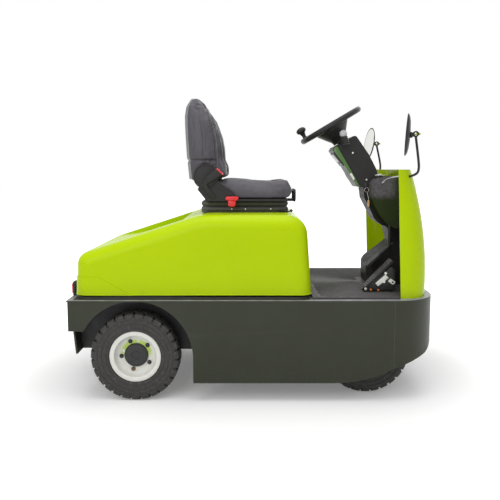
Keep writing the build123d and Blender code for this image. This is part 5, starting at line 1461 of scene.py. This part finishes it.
def stitches(name, runs):
    """Short threads laid end to end along runs of (point, normal)."""
    bm = bmesh.new()
    for run in runs:
        for (start, normal), (end, _) in zip(run[::2], run[1::2]):
            middle = (start + end) / 2 + normal * STITCH_RISE
            sunk = normal * STITCH_SINK
            add_tube(bm, [start - sunk, middle, end - sunk], STITCH_RADII, 6)
    return make_piece(name, bm, "thread", "hood")


# Profile of the seat cushion: (X, height) of its top at the bolsters, and (height share, X) of its nose
CUSHION_TOP = [
    (-0.19, 0.992),
    (-0.14, 1.014),
    (-0.09, 1.017),
    (-0.02, 1.012),
    (0.06, 1.002),
    (0.11, 1.001),
    (0.16, 1.011),
    (0.200, 1.017),
    (0.230, 1.008),
]
CUSHION_NOSE = [(0.0, 0.204), (0.25, 0.224), (0.5, 0.233), (0.78, 0.236), (1.0, 0.224)]
CUSHION_REAR_X = -0.184
CUSHION_BOTTOM = 0.931
CUSHION_HALF = 0.225
CUSHION_WELL = 0.024
BOLSTER_IN, BOLSTER_OUT = 0.105, 0.180
BOLSTER_SEAM = (BOLSTER_IN + BOLSTER_OUT) / 2
CROSS_SEAMS = (-0.070, 0.020, 0.110)
# Lowest height of the seams on the cushion's top
CUSHION_SEAM_FOOT = 0.965
CROSS_SEAM_FOOT = 0.96
# Half widths of the two kinds of seam
FINE_SEAM, WIDE_SEAM = 0.0035, 0.0045


def cushion_point(u, v, w):
    """Place of the cushion's unit point: u forward, v to the left, w up."""
    share = (w + 1) / 2
    front = between(share, CUSHION_NOSE)
    ends = 1 - 0.05 * v * v * ease(abs(u), 0.5, 1.0)
    x = CUSHION_REAR_X + (front - CUSHION_REAR_X) * (u * ends + 1) / 2
    y = CUSHION_HALF * v * (1 - 0.07 * u * u * ease(abs(v), 0.6, 1.0))
    y *= 1 - 0.07 * ease(share, 0.55, 1.0) * abs(v)
    top = between(x, CUSHION_TOP)
    well = CUSHION_WELL * (1 - ease(abs(y), BOLSTER_IN, BOLSTER_OUT)) * ease(x, CUSHION_REAR_X - 0.05, -0.05)
    edge = 0.016 * (ease(abs(v), 0.86, 1.0) + ease(abs(u), 0.90, 1.0))
    return Vector((x, y, CUSHION_BOTTOM + (top - well - edge - CUSHION_BOTTOM) * share))


# Profile of the backrest: (height, X) of its rear and front faces, and (height, half width)
BACK_REAR = [(1.034, -0.288), (1.10, -0.294), (1.24, -0.302), (1.33, -0.305), (1.38, -0.298), (1.419, -0.273)]
BACK_FRONT = [
    (1.034, -0.092),
    (1.052, -0.086),
    (1.085, -0.104),
    (1.115, -0.121),
    (1.18, -0.126),
    (1.24, -0.137),
    (1.318, -0.165),
    (1.378, -0.202),
    (1.419, -0.232),
]
BACK_WIDTH = [(1.034, 0.218), (1.16, 0.226), (1.30, 0.213), (1.38, 0.186), (1.419, 0.160)]
BACK_BOTTOM, BACK_TOP = 1.036, 1.419
BACK_WELL = 0.026
# How much lower the rear shell ends than the front of the cover
BACK_HEM = 0.013
# Side panels between two lines of (height, X): the edge of the rear shell and the seam of the front bolster
SHELL_LINE = [(1.03, -0.205), (1.25, -0.207), (1.36, -0.232), (1.42, -0.250)]
WELT_LINE = [(1.03, -0.146), (1.20, -0.148), (1.27, -0.163), (1.36, -0.194), (1.42, -0.222)]
PANEL_DENT = 0.009
PANEL_INNER = 0.13
SHELL_FOOT = 1.113
# Seams of the backrest: the bolsters' and how high it runs, the cross seams' heights,
# and the X that each kind stays ahead of
BACK_SEAM = 0.137
BACK_SEAM_TOP = 1.39
BACK_CROSS_SEAMS = (1.12, 1.205, 1.29)
BACK_SEAM_X = -0.22
BACK_CROSS_X = -0.23


def back_point(u, v, w):
    """Place of the backrest's unit point: u forward, v to the left, w up."""
    bottom = BACK_BOTTOM - BACK_HEM * (1 - ease(u, -0.9, -0.2))
    z = bottom + (BACK_TOP - bottom) * (w + 1) / 2
    half = between(z, BACK_WIDTH)
    y = half * v * (1 - 0.05 * u * u * abs(v))
    rear, front = between(z, BACK_REAR), between(z, BACK_FRONT)
    rear += 0.020 * ease(abs(v), 0.55, 1.0) + 0.002 * (1 - ease(z, SHELL_FOOT - 0.01, SHELL_FOOT + 0.01))
    well = BACK_WELL * (1 - ease(abs(y), 0.105, 0.165)) * ease(z, 1.0, 1.12) * (1 - ease(z, 1.33, 1.40))
    front -= well + 0.010 * ease(abs(v), 0.88, 1.0)
    x = rear + (front - rear) * (u + 1) / 2
    shell, welt = between(z, SHELL_LINE), between(z, WELT_LINE)
    inside = ease(x, shell - 0.004, shell + 0.010) * (1 - ease(x, welt - 0.016, welt))
    y -= math.copysign(PANEL_DENT * inside * ease(abs(v), 0.75, 1.0), v)
    return Vector((x, y, z))


def make_seat():
    """Cushion and backrest: filled covers with sewn bolsters, cross seams and a moulded rear shell."""
    seat = settings("tug_seat")
    depth = seat.seam_depth
    cushion = pad_form("seat_cushion_cover", cushion_point)
    fill_pad(cushion, seat.cushion_rise, lambda co: co.z < CUSHION_BOTTOM + 0.004)
    sew(
        cushion,
        lambda co: abs(co.y) - BOLSTER_SEAM,
        lambda co: co.z >= CUSHION_SEAM_FOOT,
        FINE_SEAM,
        depth,
    )
    for seam_x in CROSS_SEAMS:
        sew(
            cushion,
            lambda co: co.x - seam_x,
            lambda co: abs(co.y) <= BOLSTER_SEAM and co.z >= CROSS_SEAM_FOOT,
            WIDE_SEAM,
            depth,
        )
    back = pad_form("seat_back_cover", back_point)
    fill_pad(back, seat.back_rise, lambda co: co.x < -0.27)
    sew(
        back,
        lambda co: abs(co.y) - BACK_SEAM,
        lambda co: co.x >= BACK_SEAM_X and co.z <= BACK_SEAM_TOP,
        FINE_SEAM,
        depth,
    )
    for seam_z in BACK_CROSS_SEAMS:
        sew(
            back,
            lambda co: co.z - seam_z,
            lambda co: abs(co.y) <= BACK_SEAM and co.x >= BACK_CROSS_X,
            WIDE_SEAM,
            depth,
        )
    for edge, width, sunk in ((WELT_LINE, WIDE_SEAM, 0.0065), (SHELL_LINE, FINE_SEAM, 0.0030)):
        sew(
            back,
            lambda co: co.x - between(co.z, edge),
            lambda co: abs(co.y) >= PANEL_INNER,
            width,
            sunk,
        )
    sew(
        back,
        lambda co: co.z - SHELL_FOOT,
        lambda co: co.x <= between(co.z, WELT_LINE),
        0.0060,
        0.0060,
    )
    fit_out(cushion, "vinyl", "hood")
    fit_out(back, "vinyl", "hood")
    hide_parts("seat_cushion")
    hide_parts("seat_back")
    sew_threads(cushion, back)


# Twin rows of stitches: how far each lies from its seam, and where the rows on the cushion
# and on the backrest start and how long they are
STITCH_OFF = 0.006
CUSHION_STITCHES = (CUSHION_REAR_X + 0.014, 0.19 - CUSHION_REAR_X)
BACK_STITCHES = (1.09, 1.37 - 1.09)
# Pale cord up each side of the backrest, a painted highlight along the welt seam: first height, step and
# number of its points, and how far it lies ahead of the seam
SEAM_HIGHLIGHT_FOOT = 1.065
SEAM_HIGHLIGHT_STEP = 0.0095
SEAM_HIGHLIGHT_POINTS = 34
SEAM_HIGHLIGHT_AHEAD = 0.006


def sew_threads(cushion, back):
    """Twin rows of stitches beside the bolster seams, and a pale cord up each side of the backrest as a
    painted highlight along its welt seam, on the filled covers.
    """
    pitch = settings("tug_seat").stitch / 2
    cushion_start, cushion_reach = CUSHION_STITCHES
    back_start, back_reach = BACK_STITCHES
    # Cover, seam's distance from the middle, first ray's start, the row's way and length, aim of the rays
    seams = (
        (cushion, BOLSTER_SEAM, Vector((cushion_start, 0, 1.1)), FORWARD, cushion_reach, -UP),
        (back, BACK_SEAM, Vector((0.1, 0, back_start)), UP, back_reach, -FORWARD),
    )
    runs = []
    for cover, seam_y, first, along, reach, aim in seams:
        surface = surface_of(cover)
        for y in [seam + off for seam in (-seam_y, seam_y) for off in (-STITCH_OFF, STITCH_OFF)]:
            run = []
            for step in range(int(reach / pitch)):
                start = first + along * step * pitch + LEFT * y
                point, normal, _, _ = surface.ray_cast(start, aim)
                if point is not None:
                    run.append((point, normal))
            runs.append(run)
    stitches("seat_stitching", runs)
    # Pale cord along the welt seam on each side: a painted highlight
    bm = bmesh.new()
    surface = surface_of(back)
    for sign in SIDES.values():
        line = []
        for step in range(SEAM_HIGHLIGHT_POINTS):
            z = SEAM_HIGHLIGHT_FOOT + step * SEAM_HIGHLIGHT_STEP
            start = Vector((between(z, WELT_LINE) + SEAM_HIGHLIGHT_AHEAD, sign * 0.4, z))
            point, _, _, _ = surface.ray_cast(start, -LEFT * sign)
            if point is not None:
                line.append(point)
        add_tube(bm, line, 0.0019, 8)
    make_piece("backrest_seam_highlight", bm, "thread", "hood")


# Side outlines of the seat's fittings, X and Z in millimetres
BUCKLE_OUTLINE = [(-192, 1036), (-140, 1076), (-110, 1047), (-178, 1006)]
BUTTON_OUTLINE = [(-143, 1073), (-138, 1077), (-108, 1048), (-113, 1044)]
KNOB_HEAD = [(-101, 936), (-94, 941), (-43, 941), (-36, 936), (-38, 926), (-50, 921), (-87, 921), (-99, 926)]
KNOB_STEM = [(-89, 924), (-49, 924), (-52, 897), (-58, 892), (-80, 892), (-86, 897)]
# Recliner cover: its centre (X, Z) and its profile (radius, height)
RECLINER = (-0.195, 1.036)
RECLINER_COVER = [
    (0.0, 0.0042),
    (0.044, 0.0036),
    (0.050, 0.0022),
    (0.0535, 0.0022),
    (0.0555, 0.0042),
    (0.0590, 0.0034),
    (0.0600, 0.0),
]
# Belt's strap below its buckle: (X, distance outside the seat's side, Z), and its section
STRAP = ((-0.178, 0.016, 1.024), (-0.198, 0.014, 0.998), (-0.176, 0.006, 0.958), (-0.150, -0.001, 0.930))
STRAP_SECTION = (0.024, 0.0050, 0.0022)
# Screws (X, distance outside the seat's side, Z) and the height lever's route
SEAT_SCREWS = ((-0.215, 0.0028, 1.010), (-0.150, 0, 0.975), (-0.085, 0, 0.950))
HEIGHT_LEVER = (
    (0.150, -0.196, 0.872),
    (0.185, -0.212, 0.867),
    (0.205, -0.224, 0.867),
    (0.217, -0.230, 0.871),
)
# Bail handle under the cushion's front: X and Z of its loop, its width, height and corners, and its arms
BAIL_X, BAIL_Z = 0.2450, 0.9390
BAIL_LOOP = (0.130, 0.052, 0.014)
BAIL_ARM_Y, BAIL_ARM_Z = 0.050, 0.9150


def make_seat_controls():
    """Belt buckles, recliner covers, screws, the red knob, the front bail handle and the height lever."""
    _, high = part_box("seat_frame")
    front, side_y = high[0], high[1]
    buckles, buttons, rings, screws = bmesh.new(), bmesh.new(), bmesh.new(), bmesh.new()
    for sign in SIDES.values():
        add_plate(buckles, BUCKLE_OUTLINE, *span(sign, side_y + 0.004, side_y + 0.028), 0.003)
        add_plate(buttons, BUTTON_OUTLINE, *span(sign, side_y + 0.006, side_y + 0.0285), 0.001)
        line = smooth_line([Vector((x, sign * (side_y + off), z)) for x, off, z in STRAP], 5)
        sections = []
        for index, point in enumerate(line):
            ahead = line[min(index + 1, len(line) - 1)] - line[max(index - 1, 0)]
            side = ahead.cross(LEFT).normalized()
            sections.append([point + side * a + LEFT * b for a, b in rounded(*STRAP_SECTION, 3)])
        add_loft(buckles, sections)
        hub = Vector((RECLINER[0], sign * (side_y - 0.001), RECLINER[1]))
        add_lathe(rings, hub, LEFT * sign, RECLINER_COVER, 56)
        for x, off, z in SEAT_SCREWS:
            add_screw(screws, (x, sign * (side_y + off), z), LEFT * sign, 0.0045)
    make_piece("belt_buckles", buckles, "plastic", "hood")
    make_piece("buckle_buttons", buttons, "red", "hood")
    make_piece("recliner_covers", rings, "plastic", "hood")
    make_piece("seat_screws", screws, "cast", "hood")

    bm = bmesh.new()
    add_plate(bm, KNOB_HEAD, -side_y - 0.022, -side_y - 0.002, 0.004)
    add_plate(bm, KNOB_STEM, -side_y - 0.018, -side_y - 0.001, 0.004)
    rib_y = -side_y - 0.0215
    for step in range(5):
        x = -0.0905 + step * 0.011
        add_ridge(bm, [(x, rib_y, 0.923), (x, rib_y, 0.939)], 0.005, 0.0016, -LEFT)
    make_piece("weight_knob", bm, "red", "hood")

    bm = bmesh.new()
    loop = [Vector((BAIL_X, a, BAIL_Z + b)) for a, b in rounded(*BAIL_LOOP, 5)]
    add_tube(bm, loop, 0.0068, 14, closed=True)
    for sign in SIDES.values():
        y = sign * BAIL_ARM_Y
        add_tube(bm, [(front - 0.012, y, BAIL_ARM_Z), (BAIL_X, y, BAIL_ARM_Z)], 0.0055, 12)
    make_piece("slide_bail", bm, "plastic", "hood")

    bm = bmesh.new()
    lever = smooth_line(HEIGHT_LEVER, 5)
    add_tube(bm, lever, 0.0032, 10)
    tip = [*ball(0.0075, [step / 8 for step in range(4, 25, 3)]), (0.0, 0.015)]
    add_lathe(bm, lever[-1] - Vector((0.004, 0, 0.004)), Vector((0.7, -0.2, 0.7)), tip, 18)
    make_piece("height_lever", bm, "plastic", "hood")

    base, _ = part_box("seat_base")
    bm = bmesh.new()
    for sign in SIDES.values():
        for x in (-0.071, -0.004, 0.120):
            add_screw(bm, (x, sign * 0.2005, base[2] + 0.0156), LEFT * sign, 0.0042)
    make_piece("seat_base_screws", bm, "zinc", "hood")


# Stage


def seen_rays(tree):
    """1 for camera rays and for those in mirrors and glass, so that both show the pale surroundings."""
    path = add_node(tree, "ShaderNodeLightPath")
    total = path.outputs["Is Camera Ray"]
    for kind in ("Is Glossy Ray", "Is Transmission Ray"):
        options = {"operation": "ADD", "use_clamp": True}
        total = add_node(tree, "ShaderNodeMath", options, {0: total, 1: path.outputs[kind]}).outputs[0]
    return total


# Floor: it glows a little near the object, where the shadow lies, and is white further out
GLOW_NEAR, GLOW_FAR = 0.16, 1.0
GLOW_START, GLOW_END = 1.0, 2.1


def pale_floor():
    """White floor that keeps the object's soft shadow."""
    pale = Finish("pale_floor", (0.86, 0.86, 0.86), 0.9, specular=0.0, emission_color=(1, 1, 1, 1))
    far = pale.node("ShaderNodeVectorMath", {"operation": "LENGTH"}, {0: pale.place}).outputs["Value"]
    glow = pale.spread(far, GLOW_START, GLOW_END, GLOW_NEAR, GLOW_FAR)
    lift = pale.both(seen_rays(pale.tree), glow)
    pale.tree.links.new(lift, pale.surface.inputs["Emission Strength"])
    return pale.material


# Lamps: name, place, aim, size, power
LAMPS = (
    ("overhead", (0.0, -0.6, 4.2), (0.0, 0.0, 0.6), 4.0, 95.0),
    ("near_side", (-1.6, -4.2, 2.6), (0.0, 0.0, 0.6), 3.0, 62.0),
    ("far_side", (1.8, 3.8, 2.8), (0.2, 0.0, 0.7), 3.0, 40.0),
)


def make_stage():
    """Pale floor, soft lamps, world light and the camera."""
    stage = settings("tug_stage")
    scene = bpy.context.scene
    scene.view_settings.view_transform = "Standard"
    camera = bpy.data.objects.new("photo_camera", bpy.data.cameras.new("photo_camera"))
    camera.location = (stage.camera_x, stage.camera_y, stage.camera_z)
    camera.rotation_euler = (math.pi / 2 - stage.tilt, 0, 0)
    camera.data.lens = stage.lens
    scene.collection.objects.link(camera)
    scene.camera = camera

    bm = bmesh.new()
    bmesh.ops.create_grid(bm, x_segments=1, y_segments=1, size=stage.floor / 2)
    floor = link_mesh("floor", bm)
    floor.data.materials.append(pale_floor())

    world = bpy.data.worlds.new("studio")
    world.use_nodes = True
    scene.world = world
    tree = world.node_tree
    inputs = {"Value": seen_rays(tree), "To Min": stage.ambient, "To Max": 1.0}
    level = add_node(tree, "ShaderNodeMapRange", None, inputs).outputs[0]
    background = tree.nodes["Background"]
    background.inputs["Color"].default_value = (1, 1, 1, 1)
    tree.links.new(level, background.inputs["Strength"])

    for name, place, aim, size, power in LAMPS:
        light = bpy.data.lights.new(name, "AREA")
        light.size = size
        light.energy = power
        lamp = bpy.data.objects.new(name, light)
        lamp.location = place
        lamp.rotation_euler = (Vector(place) - Vector(aim)).to_track_quat("Z", "Y").to_euler()
        scene.collection.objects.link(lamp)


# Operators


class TUG_OT_finishes(bpy.types.Operator):
    """Mix every finish and paint the nodes of the frame"""

    bl_idname = "tug.finishes"
    bl_label = "Finishes"

    def execute(self, context):
        mix_finishes()
        for finish, nodes in NODE_FINISHES.items():
            for name in nodes:
                node = frame["nodes"][name]
                node.data.materials.clear()
                node.data.materials.append(FINISHES[finish])
        return {"FINISHED"}


class TUG_OT_wheels(bpy.types.Operator):
    """Make the wheels' dished rims, hub caps, bolts and tyre rings"""

    bl_idname = "tug.wheels"
    bl_label = "Wheels"

    def execute(self, context):
        make_wheels()
        return {"FINISHED"}


class TUG_OT_nose_wrap(bpy.types.Operator):
    """Make the front bumper's wrap with its rising lower edge"""

    bl_idname = "tug.nose_wrap"
    bl_label = "Nose wrap"

    def execute(self, context):
        make_nose_wrap()
        return {"FINISHED"}


class TUG_OT_hood_details(bpy.types.Operator):
    """Make the hood's lip and stop buttons"""

    bl_idname = "tug.hood_details"
    bl_label = "Hood details"

    def execute(self, context):
        make_hood_details()
        return {"FINISHED"}


class TUG_OT_bellows(bpy.types.Operator):
    """Make the bellows' rolls round the seat's base"""

    bl_idname = "tug.bellows"
    bl_label = "Seat bellows"

    def execute(self, context):
        make_bellows()
        return {"FINISHED"}


class TUG_OT_mat_ribs(bpy.types.Operator):
    """Make the floor mat's ribs"""

    bl_idname = "tug.mat_ribs"
    bl_label = "Floor mat ribs"

    def execute(self, context):
        make_mat_ribs()
        return {"FINISHED"}


class TUG_OT_steering_wheel(bpy.types.Operator):
    """Make the steering wheel with its pad, spokes and spinner knob"""

    bl_idname = "tug.steering_wheel"
    bl_label = "Steering wheel"

    def execute(self, context):
        make_steering_wheel()
        return {"FINISHED"}


class TUG_OT_column_details(bpy.types.Operator):
    """Make the column head's display, key, trim and direction lever"""

    bl_idname = "tug.column_details"
    bl_label = "Column details"

    def execute(self, context):
        make_column_details()
        return {"FINISHED"}


class TUG_OT_dash_details(bpy.types.Operator):
    """Make the dash's rim, switches and gaiter"""

    bl_idname = "tug.dash_details"
    bl_label = "Dash details"

    def execute(self, context):
        make_dash_details()
        return {"FINISHED"}


class TUG_OT_pedals(bpy.types.Operator):
    """Make the pedals' treads, brackets and bolts"""

    bl_idname = "tug.pedals"
    bl_label = "Pedals"

    def execute(self, context):
        make_pedals()
        return {"FINISHED"}


class TUG_OT_mirrors(bpy.types.Operator):
    """Make the two oval mirrors on their stems"""

    bl_idname = "tug.mirrors"
    bl_label = "Mirrors"

    def execute(self, context):
        make_mirrors()
        return {"FINISHED"}


class TUG_OT_lamps(bpy.types.Operator):
    """Make the lenses, bezels and screws of the lamps"""

    bl_idname = "tug.lamps"
    bl_label = "Lamps"

    def execute(self, context):
        make_lamps()
        return {"FINISHED"}


class TUG_OT_battery_top(bpy.types.Operator):
    """Make the cells' lids, caps and links on the battery"""

    bl_idname = "tug.battery_top"
    bl_label = "Battery top"

    def execute(self, context):
        make_battery_top()
        return {"FINISHED"}


class TUG_OT_coupling_bolts(bpy.types.Operator):
    """Make the bolts of the tow coupling and the rear bumper"""

    bl_idname = "tug.coupling_bolts"
    bl_label = "Coupling bolts"

    def execute(self, context):
        make_coupling_bolts()
        return {"FINISHED"}


class TUG_OT_seat(bpy.types.Operator):
    """Make the seat's filled and sewn covers"""

    bl_idname = "tug.seat"
    bl_label = "Seat upholstery"

    def execute(self, context):
        make_seat()
        return {"FINISHED"}


class TUG_OT_seat_controls(bpy.types.Operator):
    """Make the seat's buckles, covers, knob and levers"""

    bl_idname = "tug.seat_controls"
    bl_label = "Seat controls"

    def execute(self, context):
        make_seat_controls()
        return {"FINISHED"}


class TUG_OT_stage(bpy.types.Operator):
    """Make the floor, the lamps, the world light and the camera"""

    bl_idname = "tug.stage"
    bl_label = "Stage"

    def execute(self, context):
        make_stage()
        return {"FINISHED"}


OPERATORS = (
    TUG_OT_finishes,
    TUG_OT_wheels,
    TUG_OT_nose_wrap,
    TUG_OT_hood_details,
    TUG_OT_bellows,
    TUG_OT_mat_ribs,
    TUG_OT_steering_wheel,
    TUG_OT_column_details,
    TUG_OT_dash_details,
    TUG_OT_pedals,
    TUG_OT_mirrors,
    TUG_OT_lamps,
    TUG_OT_battery_top,
    TUG_OT_coupling_bolts,
    TUG_OT_seat,
    TUG_OT_seat_controls,
    TUG_OT_stage,
)
GROUPS = {
    "tug_colours": TugColours,
    "tug_seat": TugSeat,
    "tug_mat": TugMat,
    "tug_wheels": TugWheels,
    "tug_stage": TugStage,
}


class TUG_PT_parts(bpy.types.Panel):
    """Lists the tug's pieces and their settings."""

    bl_label = "Baggage tug"
    bl_idname = "TUG_PT_parts"
    bl_space_type = "VIEW_3D"
    bl_region_type = "UI"
    bl_category = "Tug"

    def draw(self, context):
        for group, kind in GROUPS.items():
            box = self.layout.box()
            for name in kind.__annotations__:
                box.prop(getattr(context.scene, group), name)
        for made in OPERATORS:
            self.layout.operator(made.bl_idname)


def register():
    for name, group in GROUPS.items():
        bpy.utils.register_class(group)
        setattr(bpy.types.Scene, name, PointerProperty(type=group))
    for made in (*OPERATORS, TUG_PT_parts):
        bpy.utils.register_class(made)


def unregister():
    for made in (TUG_PT_parts, *reversed(OPERATORS)):
        bpy.utils.unregister_class(made)
    for name, group in GROUPS.items():
        delattr(bpy.types.Scene, name)
        bpy.utils.unregister_class(group)


def main():
    """Make every piece."""
    register()
    for made in OPERATORS:
        getattr(bpy.ops.tug, made.bl_idname.split(".")[1])()


if __name__ == "__main__":
    main()
